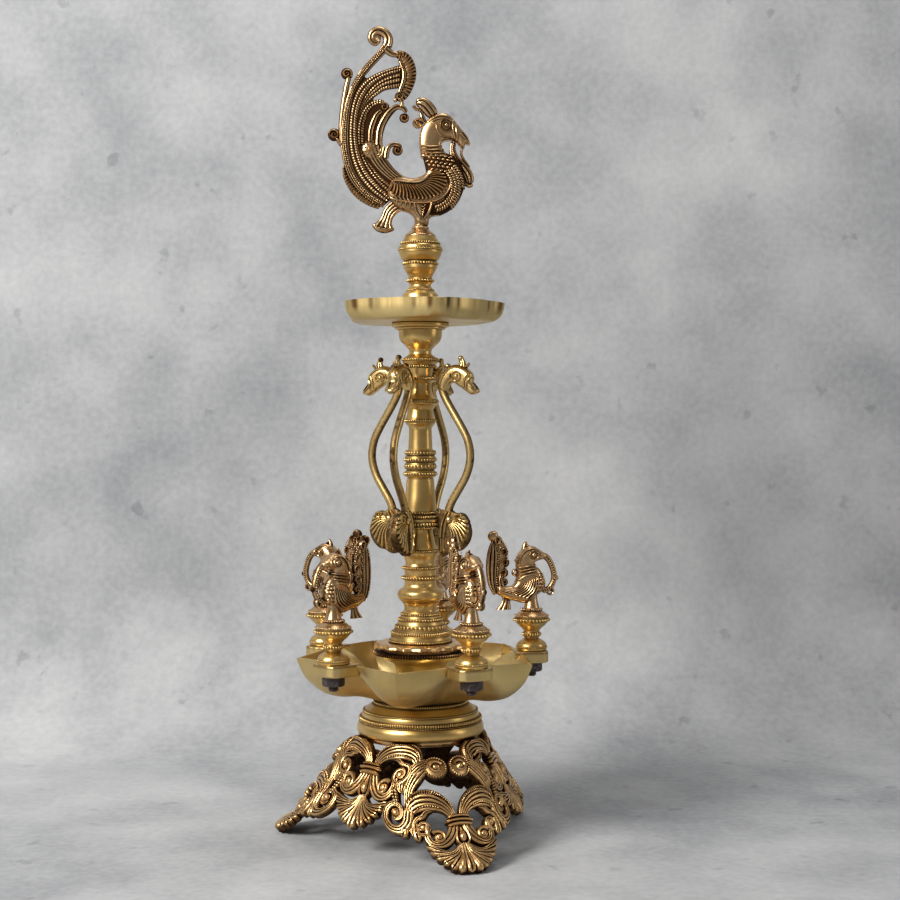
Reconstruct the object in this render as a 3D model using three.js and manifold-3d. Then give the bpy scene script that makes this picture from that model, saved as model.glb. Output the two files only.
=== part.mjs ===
// A standing brass oil lamp: an openwork tripod base, a five-lobed oil bowl with five small birds,
// a turned column with four swan-headed arms, a small five-spouted oil plate and a peacock finial.
// Millimetres, +Z up. The origin is on the lamp's axis, on the surface that the feet stand on.
// An angle about Z is measured from the front (-Y) towards the right (+X).
import * as THREE from "three";
import Module from "manifold-3d";
import { mergeVertices } from "three/addons/utils/BufferGeometryUtils.js";

// Fits shared by every piece
const clearance = 0.3;
const rodDiameter = 8;
const rodTipDiameter = 5;
const rodTipLength = 9;
const rodBelowNut = 3;

// Tripod base casting
const baseHeight = 84;
const baseRingRadius = 50;
const basePlateRadius = 47;
const basePlateThickness = 3.5;
const footRadius = 122;
const apronRadius = 84;
const apronLow = 19;
const castingThickness = 5.5;
const scrollWidth = 9;
const scrollLoopRadius = 12;
const tieWidth = 20;
const tieHeight = 7.6;
const footTieAlong = 64;
const apronTieAlong = 17;
const palmetteWidth = 50;
const footPalmetteBelowTie = 5;
const apronPalmetteBelowTie = 11;
const palmetteInset = 1;
const rosetteRadius = 7.5;
const toePadRadius = 9;
const toePadHeight = 5;
const toePadFromTip = 10;
const firstFootAngle = 18.75;

// Base nut and washer, under the base plate
const rodNutFlats = 13;
const rodNutHeight = 6.5;
const rodWasherRadius = 14;
const rodWasherThickness = 2;

// Pedestal dome
const domeHeight = 26.5;
const domeRadius = 50.8;
const domeTopRadius = 36;
const domeWall = 3;

// Lower oil bowl and its ears
const bowlFloorRadius = 35;
const bowlFloorThickness = 3;
const bowlWall = 2.2;
const bowlHeight = 36.5;
const bowlTipRadius = 98.9;
const bowlValleyRadius = 80;
const firstLobeAngle = -11;
const earAxisRadius = 90.6;
const earReach = 13.5;
const earHalfWidth = 15;
const earPastRim = 4.4;
const earThickness = 9;
const earAboveRim = 1;

// Bird studs and their nuts
const studDiameter = 8;
const studTipDiameter = 5;
const studTipLength = 9;
const studBelowNut = 4;
const nutFlats = 15;
const nutHeight = 7.8;

// Bird pedestals and birds
const pedestalHeight = 27;
const pedestalRadius = 14.3;
const birdPostHeight = 19;
const birdPostRadius = 13.5;
const birdThickness = 10;
const birdTailThickness = 6;
const birdBodyRadius = 8;

// Spool, washer and flange in the middle of the bowl
const hubHeight = 33.5;
const hubRadius = 31;
const washerRadius = 38;
const washerThickness = 2.5;
const washerTeeth = 30;
const washerToothDepth = 1.4;
const flangeRadius = 37.5;
const flangeThickness = 4.5;
const flangeNeckRadius = 30;
const flangeNeckHeight = 2.5;
const flangeScallops = 17;
const flangeScallopDepth = 1.6;

// Turned column
const columnFootHeight = 49.5;
const columnFootRadius = 25;
const lowerColumnHeight = 41;
const lowerColumnRadius = 15.3;
const collarHeight = 11;
const collarRadius = 16.7;
const middleColumnHeight = 53;
const middleColumnRadius = 13;
const upperColumnHeight = 57.5;
const upperColumnRadius = 14.5;
const tulipHeight = 37.5;
const tulipRadius = 17.5;
const plateFlangeHeight = 5.5;
const plateFlangeRadius = 22.8;

// Swan-headed arms
const firstArmAngle = -28;
const armCount = 4;
const armBarWidth = 6.5;
const armBarThickness = 6;
const armHeadThickness = 8;
const bracketThickness = 7;
const tenonWidth = 4;
const tenonHeight = 6;
const tenonLength = 7;

// Upper oil plate
const plateHeight = 16.5;
const plateSpoutRadius = 68;
const plateWaistRadius = 59;
const plateFloorRadius = 50;
const plateFloorThickness = 2.5;
const plateWall = 1.8;
const plateSpoutDip = 3;
const firstSpoutAngle = 13;

// Vase and peacock
const vaseHeight = 66;
const vaseRadius = 18;
const finialBodyThickness = 13;
const finialTailThickness = 6;
const finialFootRadius = 12.5;
const finialFootHeight = 15;

// Fineness of the round work
const columnSides = 16;
const wideSides = 20;
const smallSides = 10;
const sidesPerLobe = 8;

// Heights of the stack, from the feet up
const domeTop = baseHeight + domeHeight;
const bowlFloorTop = domeTop + bowlFloorThickness;
const rimTop = domeTop + bowlHeight;
const earTop = rimTop + earAboveRim;
const earBottom = earTop - earThickness;
const hubTop = bowlFloorTop + hubHeight;
const washerTop = hubTop + washerThickness;
const flangeTop = washerTop + flangeNeckHeight + flangeThickness;
const columnFootTop = flangeTop + columnFootHeight;
const lowerColumnTop = columnFootTop + lowerColumnHeight;
const collarTop = lowerColumnTop + collarHeight;
const middleColumnTop = collarTop + middleColumnHeight;
const upperColumnTop = middleColumnTop + upperColumnHeight;
const tulipTop = upperColumnTop + tulipHeight;
const plateFlangeTop = tulipTop + plateFlangeHeight;
const plateFloorTop = plateFlangeTop + plateFloorThickness;
const vaseTop = plateFloorTop + vaseHeight;
const rodBore = rodDiameter / 2 + clearance;
const studBore = studDiameter / 2 + clearance;

const wasm = await Module();
wasm.setup();

const lamp = new THREE.Group();

// Adds one piece to the lamp, in its own material
function addPiece(name, geometry, colour, roughness, metalness = 1) {
  const material = new THREE.MeshStandardMaterial({ color: colour, roughness, metalness });
  const mesh = new THREE.Mesh(geometry, material);
  mesh.name = name;
  lamp.add(mesh);
  return mesh;
}

// Merges the shared vertices of a closed geometry, drops collapsed faces and turns it to face out
function closed(geometry) {
  geometry.deleteAttribute("normal");
  geometry.deleteAttribute("uv");
  const merged = mergeVertices(geometry, 1e-4);
  const position = merged.attributes.position;
  const faces = [];
  let volume = 0;
  for (let i = 0; i < merged.index.count; i += 3) {
    const corners = [0, 1, 2].map((k) => merged.index.getX(i + k));
    if (new Set(corners).size < 3) continue;
    const [a, b, c] = corners.map((k) => new THREE.Vector3().fromBufferAttribute(position, k));
    volume += a.dot(b.cross(c));
    faces.push(corners);
  }
  merged.setIndex(faces.flatMap(([a, b, c]) => (volume > 0 ? [a, b, c] : [a, c, b])));
  merged.computeVertexNormals();
  return merged;
}

function solidOf(geometry) {
  const { attributes, index } = closed(geometry);
  return new wasm.Manifold(new wasm.Mesh({
    numProp: 3,
    vertProperties: Float32Array.from(attributes.position.array),
    triVerts: Uint32Array.from(index.array),
  }));
}

function geometryOf(solid) {
  const { vertProperties, triVerts } = solid.getMesh();
  const geometry = new THREE.BufferGeometry();
  geometry.setAttribute("position", new THREE.BufferAttribute(vertProperties, 3));
  geometry.setIndex(new THREE.BufferAttribute(triVerts, 1));
  geometry.computeVertexNormals();
  return geometry;
}

// One body from several that run into each other, less whatever is cut away
function joined(geometries, cuts = []) {
  let solid = solidOf(geometries[0]);
  for (const geometry of geometries.slice(1)) solid = solid.add(solidOf(geometry));
  for (const geometry of cuts) solid = solid.subtract(solidOf(geometry));
  return geometryOf(solid);
}

// Places a point at a radius, an angle about Z and a height
function polar(radius, angle, height) {
  return new THREE.Vector3(radius * Math.sin(angle), -radius * Math.cos(angle), height);
}

const radians = (degrees) => THREE.MathUtils.degToRad(degrees);
const mix = (from, to, share) => from + (to - from) * share;

// Fits a hand-drawn profile of radius and height pairs to a piece's own radius and height
function fitted(drawn, radius, height, from) {
  const widest = Math.max(...drawn.map(([r]) => r));
  const tallest = drawn[drawn.length - 1][1];
  return drawn.map(([r, z]) => [(r * radius) / widest, from + (z * height) / tallest]);
}

// A turned piece: an outline of radius and height pairs from its foot up, round a straight bore
function turned(outline, bore, sides) {
  const bottom = outline[0][1];
  const top = outline[outline.length - 1][1];
  const loop = [[bore, bottom], ...outline, [bore, top], [bore, bottom]];
  const geometry = new THREE.LatheGeometry(loop.map(([r, z]) => new THREE.Vector2(r, z)), sides);
  geometry.rotateX(Math.PI / 2);
  return closed(geometry);
}

// A straight round bar or disc, or one of any other number of sides, standing on a height
function bar(radius, from, to, sides) {
  const geometry = new THREE.CylinderGeometry(radius, radius, to - from, sides);
  geometry.rotateX(Math.PI / 2);
  geometry.translate(0, 0, (from + to) / 2);
  return geometry;
}

// A hexagonal nut round the axis, with its bore
function hexNut(flats, bore, from, to) {
  const corners = flats / Math.sqrt(3);
  return joined([bar(corners, from, to, 6)], [bar(bore, from - 1, to + 1, smallSides + 2)]);
}

// A closed body between rings of points, each ring as long as the next
function lofted(rings) {
  const count = rings[0].length;
  const index = [];
  for (let k = 0; k < rings.length - 1; k += 1) {
    for (let j = 0; j < count; j += 1) {
      const a = k * count + j;
      const b = k * count + ((j + 1) % count);
      index.push(a, b, a + count, b, b + count, a + count);
    }
  }
  const last = (rings.length - 1) * count;
  for (let j = 1; j < count - 1; j += 1) {
    index.push(0, j + 1, j, last, last + j, last + j + 1);
  }
  const geometry = new THREE.BufferGeometry().setFromPoints(rings.flat());
  geometry.setIndex(index);
  return geometry;
}

// A wall that goes once round the axis, from one closed profile of points for each angle
function wound(angles, profileAt) {
  const profiles = angles.map((angle) => profileAt(angle).map(([r, z]) => polar(r, angle, z)));
  const count = profiles[0].length;
  const index = [];
  profiles.forEach((_, k) => {
    const next = (k + 1) % profiles.length;
    for (let j = 0; j < count; j += 1) {
      const [a, b] = [k * count + j, k * count + ((j + 1) % count)];
      const [c, d] = [next * count + j, next * count + ((j + 1) % count)];
      index.push(a, b, c, b, d, c);
    }
  });
  const geometry = new THREE.BufferGeometry().setFromPoints(profiles.flat());
  geometry.setIndex(index);
  return closed(geometry);
}

// The inner side of a thin wall, drawn from the outer side's profile
function innerSide(outer, wall) {
  return outer.map(([r, z], k) => {
    const [r0, z0] = outer[Math.max(k - 1, 0)];
    const [r1, z1] = outer[Math.min(k + 1, outer.length - 1)];
    const length = Math.hypot(r1 - r0, z1 - z0);
    return [r - (wall * (z1 - z0)) / length, z + (wall * (r1 - r0)) / length];
  });
}

// A flat casting in the X-Z plane, chamfered on both faces
function flatCasting(points, thickness, chamfer = 0) {
  const shape = new THREE.Shape(points.map(([x, z]) => new THREE.Vector2(x, z)));
  const geometry = new THREE.ExtrudeGeometry(shape, {
    depth: thickness - 2 * chamfer,
    bevelEnabled: chamfer > 0,
    bevelThickness: chamfer,
    bevelSize: chamfer,
    bevelOffset: -chamfer,
    bevelSegments: 1,
  });
  geometry.translate(0, 0, chamfer - thickness / 2);
  geometry.rotateX(Math.PI / 2);
  return geometry;
}

// A ridged band in the X-Z plane, along a curve through hand-chosen points
function flatBand(points, width, thickness, steps) {
  const curve = new THREE.CatmullRomCurve3(points.map(([x, z]) => new THREE.Vector3(x, 0, z)));
  const rings = [];
  for (let k = 0; k <= steps; k += 1) {
    const share = k / steps;
    const middle = curve.getPointAt(share);
    const side = curve.getTangentAt(share).cross(new THREE.Vector3(0, 1, 0)).normalize();
    const half = width * (0.5 - 0.15 * Math.abs(2 * share - 1));
    const ring = [[-1, 0], [0, -0.5], [1, 0], [0, 0.5]];
    rings.push(ring.map(([across, through]) => {
      const point = middle.clone().addScaledVector(side, across * half);
      return point.setY(through * thickness);
    }));
  }
  return lofted(rings);
}

// A round button in the X-Z plane
function button(x, z, radius, thickness, sides = 6) {
  const geometry = new THREE.CylinderGeometry(radius, radius, thickness, sides);
  geometry.translate(x, 0, z);
  return geometry;
}

// A stretched ball
function ball(x, z, reachX, reachY, reachZ, tilt = 0) {
  const geometry = new THREE.SphereGeometry(1, 8, 4);
  geometry.rotateX(Math.PI / 2);
  geometry.scale(reachX, reachY, reachZ);
  geometry.rotateY(-radians(tilt));
  geometry.translate(x, 0, z);
  return geometry;
}

// Turns geometry drawn outwards along +X to an angle about Z, and moves it up
function facing(geometry, angle, radius, height) {
  geometry.translate(radius, 0, height);
  geometry.rotateZ(radians(angle - 90));
  return geometry;
}

// Tripod base: scrollwork that follows a surface flaring from the ring to three feet, and hanging
// lower and steeper as an apron between them
const footMeridian = curveOf([
  [0, 1], [0.14, 0.88], [0.31, 0.71], [0.47, 0.5], [0.61, 0.33], [0.75, 0.19], [0.94, 0.05], [1, 0],
].map(([out, up]) => [mix(baseRingRadius, footRadius, out), up * baseHeight]));
const apronMeridian = curveOf([
  [0, 1], [0.18, 0.72], [0.47, 0.43], [1, 0],
].map(([out, up]) => [mix(baseRingRadius, apronRadius, out), mix(apronLow, baseHeight, up)]));
const footLength = footMeridian.getLength();

function curveOf(points) {
  return new THREE.CatmullRomCurve3(points.map(([r, z]) => new THREE.Vector3(r, 0, z)));
}

// A point of a meridian at a length along it, carried straight on past its ends
function alongMeridian(meridian, along) {
  const share = along / meridian.getLength();
  const held = THREE.MathUtils.clamp(share, 0, 1);
  const past = (share - held) * meridian.getLength();
  return meridian.getPointAt(held).addScaledVector(meridian.getTangentAt(held), past);
}

function baseSurface(angle, along) {
  const footShare = 0.5 + 0.5 * Math.cos(3 * (angle - radians(firstFootAngle)));
  const apron = alongMeridian(apronMeridian, along);
  const point = apron.lerp(alongMeridian(footMeridian, along), footShare);
  return polar(point.x, angle, point.z);
}

// A point of one unit of scrollwork: across and along it, and raised from the surface
function onBase(unitAngle, across, along, raised) {
  const middle = baseSurface(unitAngle, along);
  const angle = unitAngle + across / Math.hypot(middle.x, middle.y);
  const step = 0.5;
  const round = baseSurface(angle + 0.01, along).sub(baseSurface(angle - 0.01, along));
  const down = baseSurface(angle, along + step).sub(baseSurface(angle, along - step));
  const out = down.cross(round).normalize();
  return baseSurface(angle, along).addScaledVector(out, raised);
}

// A ridged scroll bar that follows the surface
function scroll(unitAngle, points, width, steps) {
  const curve = new THREE.CatmullRomCurve3(points.map(([s, t]) => new THREE.Vector3(s, t, 0)));
  const rings = [];
  for (let k = 0; k <= steps; k += 1) {
    const share = k / steps;
    const middle = curve.getPointAt(share);
    const tangent = curve.getTangentAt(share);
    const half = width * (0.5 - 0.14 * Math.abs(2 * share - 1));
    const section = [[-1, -1], [1, -1], [0.55, 0], [-0.55, 0]];
    rings.push(section.map(([side, raised]) => onBase(
      unitAngle,
      middle.x - tangent.y * side * half,
      middle.y + tangent.x * side * half,
      raised * castingThickness,
    )));
  }
  return lofted(rings);
}

// A plate with a round outline on the surface, as wide as its reach at each turn
function plaque(unitAngle, across, along, reachAt, sides, crown) {
  const ring = (share, raised) => Array.from({ length: sides }, (_, k) => {
    const turn = (2 * Math.PI * k) / sides;
    const [reachAcross, reachAlong] = reachAt(turn);
    const s = across + share * reachAcross * Math.sin(turn);
    const t = along - share * reachAlong * Math.cos(turn);
    return onBase(unitAngle, s, t, raised);
  });
  const back = -castingThickness;
  const edge = -0.35 * castingThickness;
  return lofted([ring(1, back), ring(1, edge), ring(0.3, crown)]);
}

// Scrolls of one unit, drawn across and along it from its tie, in loop radii
const loopDrawn = Array.from({ length: 8 }, (_, k) => {
  const turn = radians(mix(-100, 235, k / 7));
  const reach = k === 0 ? 0.8 : 1;
  return [1.5 + reach * Math.sin(turn) * 1.08, -1.25 - reach * Math.cos(turn) * 1.05];
});
const lowerScrollDrawn = [[0.33, 0], [1, 0.08], [1.67, 0.5], [2, 1.17], [1.67, 1.75]];
const linkTopDrawn = [[-1.85, -0.2], [-2.05, 1.02]];
const linkFootDrawn = [[3.67, -1.83], [2.75, -0.75]];
const rosetteDrawn = [[-2.08, 1.15]];

function fromTie(drawn, side, tie) {
  return drawn.map(([s, t]) => [side * s * scrollLoopRadius, tie + t * scrollLoopRadius]);
}

// The same for points drawn from the tie of the next apron, given across a foot's unit
function fromNextApron(foot, drawn, side) {
  const radiusAt = (angle, along) => {
    const point = baseSurface(angle, along);
    return Math.hypot(point.x, point.y);
  };
  return drawn.map(([s, t]) => {
    const along = apronTieAlong + t * scrollLoopRadius;
    const turn = radians(60) + (s * scrollLoopRadius) / radiusAt(foot + radians(60), along);
    return [side * turn * radiusAt(foot, along), along];
  });
}

// Bow, tie, lower scrolls and palmette of one unit, with its tie at a length along the surface
function scrollUnit(unitAngle, tie, palmetteStart, surfaceEnd) {
  const pieces = [];
  for (const side of [-1, 1]) {
    pieces.push(scroll(unitAngle, fromTie(loopDrawn, side, tie), scrollWidth, 8));
    const lower = fromTie(lowerScrollDrawn, side, tie);
    pieces.push(scroll(unitAngle, lower, scrollWidth * 0.75, 5));
  }
  pieces.push(plaque(unitAngle, 0, tie, () => [tieWidth / 2, tieHeight / 2], 6, 1));
  const halfLength = (surfaceEnd - palmetteInset - palmetteStart) / 2;
  const lobes = (turn) => {
    const wave = 1 + 0.08 * Math.cos(7 * turn);
    const narrow = Math.cos(turn) < 0 ? 1 - 0.3 * Math.abs(Math.cos(turn)) : 1;
    return [(palmetteWidth / 2) * wave * narrow, halfLength * wave];
  };
  pieces.push(plaque(unitAngle, 0, palmetteStart + halfLength, lobes, 14, 1));
  return pieces;
}

function tripodBase() {
  const pieces = [bar(basePlateRadius, baseHeight - basePlateThickness, baseHeight, wideSides)];
  for (let k = 0; k < 3; k += 1) {
    const foot = radians(firstFootAngle + 120 * k);
    const apron = foot + radians(60);
    const footPalmette = footTieAlong + footPalmetteBelowTie;
    const apronPalmette = apronTieAlong + apronPalmetteBelowTie;
    pieces.push(...scrollUnit(foot, footTieAlong, footPalmette, footLength));
    pieces.push(...scrollUnit(apron, apronTieAlong, apronPalmette, apronMeridian.getLength()));
    for (const side of [-1, 1]) {
      const top = fromNextApron(foot, linkTopDrawn, side);
      const link = [...top, ...fromTie(linkFootDrawn, side, footTieAlong)];
      pieces.push(scroll(foot, link, scrollWidth, 4));
      const reach = () => [rosetteRadius, rosetteRadius];
      const [[s, t]] = fromNextApron(foot, rosetteDrawn, side);
      pieces.push(plaque(foot, s, t, reach, 8, 1.5));
    }
    const pad = bar(toePadRadius, 0, toePadHeight, smallSides);
    pieces.push(facing(pad, THREE.MathUtils.radToDeg(foot), footRadius - toePadFromTip, 0));
  }
  const wide = 4 * footRadius;
  const below = new THREE.BoxGeometry(wide, wide, baseHeight);
  below.translate(0, 0, -baseHeight / 2);
  const above = new THREE.BoxGeometry(wide, wide, baseHeight);
  above.translate(0, 0, baseHeight * 1.5);
  const bore = bar(rodBore, 0, baseHeight + 1, smallSides + 2);
  return joined(pieces, [below, above, bore]);
}

// Pedestal dome: a turned ring that steps in to a waisted dome, hollow underneath
function pedestalDome() {
  const outline = fitted([
    [49, 0], [50.3, 2], [50.8, 5], [49, 10], [47, 11.5], [46.8, 14], [46.3, 17], [44.5, 19.5],
    [39, 22.5], [domeTopRadius, 26.5],
  ], domeRadius, domeHeight, baseHeight);
  const hollow = turned([
    [domeRadius - 2 * domeWall, baseHeight - 1],
    [domeRadius - 2.5 * domeWall, mix(baseHeight, domeTop, 0.5)],
    [domeTopRadius - domeWall, domeTop - domeWall],
  ], 0, wideSides);
  return joined([turned(outline, rodBore, wideSides)], [hollow]);
}

// Lower bowl: five pointed pouches round a central cup, with an ear between each two
function bowlProfile(angle) {
  const lobe = radians(72);
  const turn = (((angle - radians(firstLobeAngle)) % lobe) + 1.5 * lobe) % lobe - lobe / 2;
  const fold = Math.abs(turn) / (lobe / 2);
  const fullness = Math.cos((fold * Math.PI) / 2) ** 0.8;
  const rim = mix(bowlValleyRadius, bowlTipRadius, (1 - fold) ** 1.2);
  const pouch = [[0.14, 0.06], [0.3, 0.1], [0.485, 0.1], [0.668, 0.18], [0.81, 0.34],
    [0.95, 0.6], [1.005, 0.88], [1, 1]];
  const valley = [[0.11, 0.1], [0.22, 0.24], [0.33, 0.42], [0.47, 0.62], [0.62, 0.79],
    [0.78, 0.91], [0.91, 0.98], [1, 1]];
  const outer = [[rodBore, domeTop], [bowlFloorRadius, domeTop]];
  pouch.forEach(([out, up], k) => {
    const share = mix(valley[k][0], out, fullness);
    const height = mix(valley[k][1], up, fullness);
    outer.push([mix(bowlFloorRadius, rim, share), domeTop + bowlHeight * height]);
  });
  const inner = innerSide(outer, bowlWall);
  inner[inner.length - 1][1] = rimTop;
  const floor = [[bowlFloorRadius - bowlWall, bowlFloorTop], [rodBore, bowlFloorTop]];
  return [...outer, ...inner.slice(2).reverse(), ...floor];
}

function ear() {
  const outline = new THREE.Shape();
  const back = bowlValleyRadius - earPastRim - earAxisRadius;
  outline.moveTo(back, -earHalfWidth);
  outline.lineTo(0, -earHalfWidth * 0.95);
  outline.bezierCurveTo(earReach, -earHalfWidth * 0.8, earReach, earHalfWidth * 0.8, 0,
    earHalfWidth * 0.95);
  outline.lineTo(back, earHalfWidth);
  const plate = new THREE.ExtrudeGeometry(outline, {
    depth: earThickness, bevelEnabled: false, curveSegments: 6,
  });
  plate.translate(0, 0, earBottom);
  return plate;
}

function lowerBowl() {
  const count = 5 * sidesPerLobe;
  const angles = Array.from({ length: count }, (_, k) => radians(firstLobeAngle + (360 * k) / count));
  const pieces = [wound(angles, bowlProfile)];
  const holes = [];
  for (let k = 0; k < 5; k += 1) {
    pieces.push(facing(ear(), earAngle(k), earAxisRadius, 0));
    const hole = bar(studBore, earBottom - 1, earTop + 1, smallSides + 2);
    holes.push(facing(hole, earAngle(k), earAxisRadius, 0));
  }
  return joined(pieces, holes);
}

function earAngle(k) {
  return firstLobeAngle + 36 + 72 * k;
}

// A disc whose edge waves in and out a number of times
function wavyDisc(radius, waves, depth, from, to, pointsPerWave, waveAt) {
  const count = waves * pointsPerWave;
  const points = Array.from({ length: count }, (_, k) => {
    const turn = (2 * Math.PI * k) / count;
    const reach = radius - depth * waveAt((k % pointsPerWave) / pointsPerWave);
    return new THREE.Vector2(reach * Math.sin(turn), -reach * Math.cos(turn));
  });
  const disc = new THREE.ExtrudeGeometry(new THREE.Shape(points), {
    depth: to - from, bevelEnabled: false,
  });
  disc.translate(0, 0, from);
  return disc;
}

function serratedWasher() {
  const toothed = (share) => (share < 0.5 ? 0 : 1);
  const disc = wavyDisc(washerRadius, washerTeeth, washerToothDepth, hubTop, washerTop, 2, toothed);
  return joined([disc], [bar(rodBore, hubTop - 1, washerTop + 1, smallSides + 2)]);
}

function scallopedFlange() {
  const scalloped = (share) => 1 - Math.sin(Math.PI * share);
  const neckTop = washerTop + flangeNeckHeight;
  const disc = wavyDisc(flangeRadius, flangeScallops, flangeScallopDepth, neckTop, flangeTop, 4,
    scalloped);
  const neck = bar(flangeNeckRadius, washerTop, neckTop + flangeThickness / 2, wideSides);
  return joined([disc, neck], [bar(rodBore, washerTop - 1, flangeTop + 1, smallSides + 2)]);
}

// The column's turned pieces, each drawn from its own foot
const bowlHubDrawn = [[26, 0], [26, 4], [21, 8], [18.5, 16], [21, 25], [27, 29], [31, 31], [31, 33.5]];
const columnFootDrawn = [[25, 0], [24.4, 3.5], [22, 9], [19, 13.5], [16.5, 20], [13.3, 26.5],
  [13.5, 30], [16.5, 33.5], [18.4, 38], [16, 42.5], [12.7, 45.5], [12.7, 49.5]];
const lowerColumnDrawn = [[13, 0], [14.3, 1], [14.3, 2.5], [12.8, 4], [12.8, 8.5], [14.4, 9.5],
  [14.2, 10.7], [12, 13.5], [13.4, 18.5], [15.3, 23], [14.6, 25], [11.2, 30], [10.2, 36], [10.2, 41]];
const middleColumnDrawn = [[13, 0], [13, 2.5], [12.3, 12], [11, 28.5], [12, 29.5], [12.8, 32],
  [12, 36.5], [12.6, 40], [12, 42.5], [12.8, 44.5], [11.6, 47.5], [12, 52], [9.8, 53]];
const upperColumnDrawn = [[9.7, 0], [9, 16], [10.5, 19], [12.3, 22], [10.4, 28], [10, 31],
  [14.5, 36], [14.5, 39], [9.8, 44], [9, 47], [9.3, 52], [14, 55], [14, 57.5]];
const tulipDrawn = [[9.5, 0], [10.5, 7], [14.7, 12], [14.7, 14], [9.2, 18], [9.3, 21.5],
  [13, 25.5], [16.6, 30], [17.5, 34], [17.5, 37.5]];
const plateFlangeDrawn = [[20, 0], [20, 1.7], [22.8, 2.2], [22.8, 5.5]];
const vaseDrawn = [[18, 0], [15.5, 6], [14.2, 20.5], [10.5, 24], [8.6, 27.5], [10, 31.5], [9.4, 33.5],
  [12.8, 40.5], [13.3, 42], [13.3, 46], [16.3, 51], [17.5, 56], [17.2, 59], [14.5, 62], [12.6, 66]];

function column(drawn, radius, height, from, sides = columnSides) {
  return turned(fitted(drawn, radius, height, from), rodBore, sides);
}

// Arm collar: a plain band with a socket for each arm's tenon
function armAngle(k) {
  return firstArmAngle + (360 / armCount) * k;
}

function armTenon(k, margin) {
  const length = tenonLength + 2 + margin;
  const box = new THREE.BoxGeometry(length, tenonWidth + 2 * margin, tenonHeight + 2 * margin);
  const inner = collarRadius - tenonLength - margin;
  return facing(box, armAngle(k), inner + length / 2, mix(lowerColumnTop, collarTop, 0.5));
}

function armCollar() {
  const outline = fitted([[15.4, 0], [16.7, 1.2], [16.7, 8.6], [15.4, 9.4], [15.4, 11]],
    collarRadius, collarHeight, lowerColumnTop);
  const sockets = [];
  for (let k = 0; k < armCount; k += 1) sockets.push(armTenon(k, clearance));
  return joined([turned(outline, rodBore, wideSides)], sockets);
}

// Swan arm, drawn outwards from the collar's face and up from its lower edge
const armBarDrawn = [[8, 14], [10.6, 22], [16.7, 33], [24.3, 47.6], [27.9, 61], [26.8, 72],
  [15.6, 88], [4.9, 106], [3.4, 114], [6, 121]];
const armHeadDrawn = [[-0.5, 115], [1.3, 119], [3.3, 123], [6.7, 126.5], [10, 129], [14.3, 130.5],
  [17.8, 130.5], [19, 134], [20.6, 137], [23.3, 138.2], [26, 136.5], [25.1, 132], [25.6, 129],
  [27.9, 126], [29.9, 123], [29.9, 115.5], [32.3, 113.5], [35.4, 111], [35.4, 108], [30.1, 106.2],
  [25.6, 109], [17.8, 114], [12.3, 116.5], [8.5, 113], [7, 109], [2, 109]];
const bracketDrawn = [[0, 0], [0, 11], [5, 15], [11.5, 16.5], [16.3, 12], [21.5, 11.3], [27.3, 5],
  [30.3, -1], [28.3, -7], [23.3, -11], [16.3, -13], [11.3, -16], [7.3, -20], [2.8, -21], [1.3, -17],
  [2.2, -9]];

function swanArm(k) {
  const fromCollar = (points) => points.map(([out, up]) => [out + clearance, up]);
  const bracket = flatCasting(fromCollar(bracketDrawn), bracketThickness);
  const middle = flatBand(armBarDrawn, armBarWidth * 1.3, armBarThickness * 1.2, 12);
  const head = flatCasting(armHeadDrawn, armHeadThickness);
  const seated = [bracket, middle, head].map(
    (geometry) => facing(geometry, armAngle(k), collarRadius, lowerColumnTop),
  );
  return joined([...seated, armTenon(k, 0)]);
}

// Small bird on its post, drawn outwards from its axis and up from its pedestal
const birdDrawn = [[-3, 10], [-9, 11], [-20, 15], [-30, 21], [-33, 26], [-22, 24.5], [-16, 25],
  [-12.5, 31], [-13.5, 42], [-12.5, 49], [-7, 56], [-4, 61.5], [4, 55.5], [11, 49], [2, 43],
  [8, 36], [11, 29], [10.5, 24], [5, 19], [3, 14]];
const birdPlumeDrawn = [[-19, 24], [-21, 32], [-17.6, 43], [-17.8, 52], [-21, 59], [-26, 61],
  [-27, 67], [-32, 71], [-37, 67], [-38, 54], [-38, 42], [-36, 26], [-30, 20]];
const birdFeatherDrawn = [[-16, 15], [-19, 12], [-16.5, 6], [-24, 4.5], [-30, 5.5], [-25, 11],
  [-24, 19]];
const birdGarlandDrawn = [[8, 51], [13, 48.5], [17.2, 42], [19.7, 33], [17, 24], [13, 20], [7, 21]];
const birdPostDrawn = [[13.5, 0], [13.2, 1.2], [7.2, 6], [4.6, 13], [4, 19]];

function birdFigure(k) {
  const post = turned(fitted(birdPostDrawn, birdPostRadius, birdPostHeight, 0), 0, smallSides);
  const pieces = [
    post,
    flatCasting(birdDrawn, birdThickness),
    ball(-6, 23, 15, birdBodyRadius, 9, 10),
    flatCasting(birdPlumeDrawn, birdTailThickness),
    flatCasting(birdFeatherDrawn, birdTailThickness),
    flatBand(birdGarlandDrawn, birdTailThickness, birdTailThickness, 6),
  ];
  const socket = bar(studTipDiameter / 2 + clearance, -1, studTipLength + clearance, 8);
  return facing(joined(pieces, [socket]), earAngle(k), earAxisRadius, earTop + pedestalHeight);
}

const pedestalDrawn = [[12, 0], [12.3, 4], [6.6, 9.5], [7.2, 11], [7.2, 15], [6.6, 16],
  [11, 20], [14.3, 24], [14.3, 27]];

function birdPedestal(k) {
  const outline = fitted(pedestalDrawn, pedestalRadius, pedestalHeight, earTop);
  return facing(turned(outline, studBore, smallSides), earAngle(k), earAxisRadius, 0);
}

// A stud or rod with a thinner tip
function steppedRod(diameter, tipDiameter, from, shoulder, to, sides) {
  const outline = [[diameter / 2, from], [diameter / 2, shoulder], [tipDiameter / 2, shoulder],
    [tipDiameter / 2, to]];
  return turned(outline, 0, sides);
}

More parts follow.
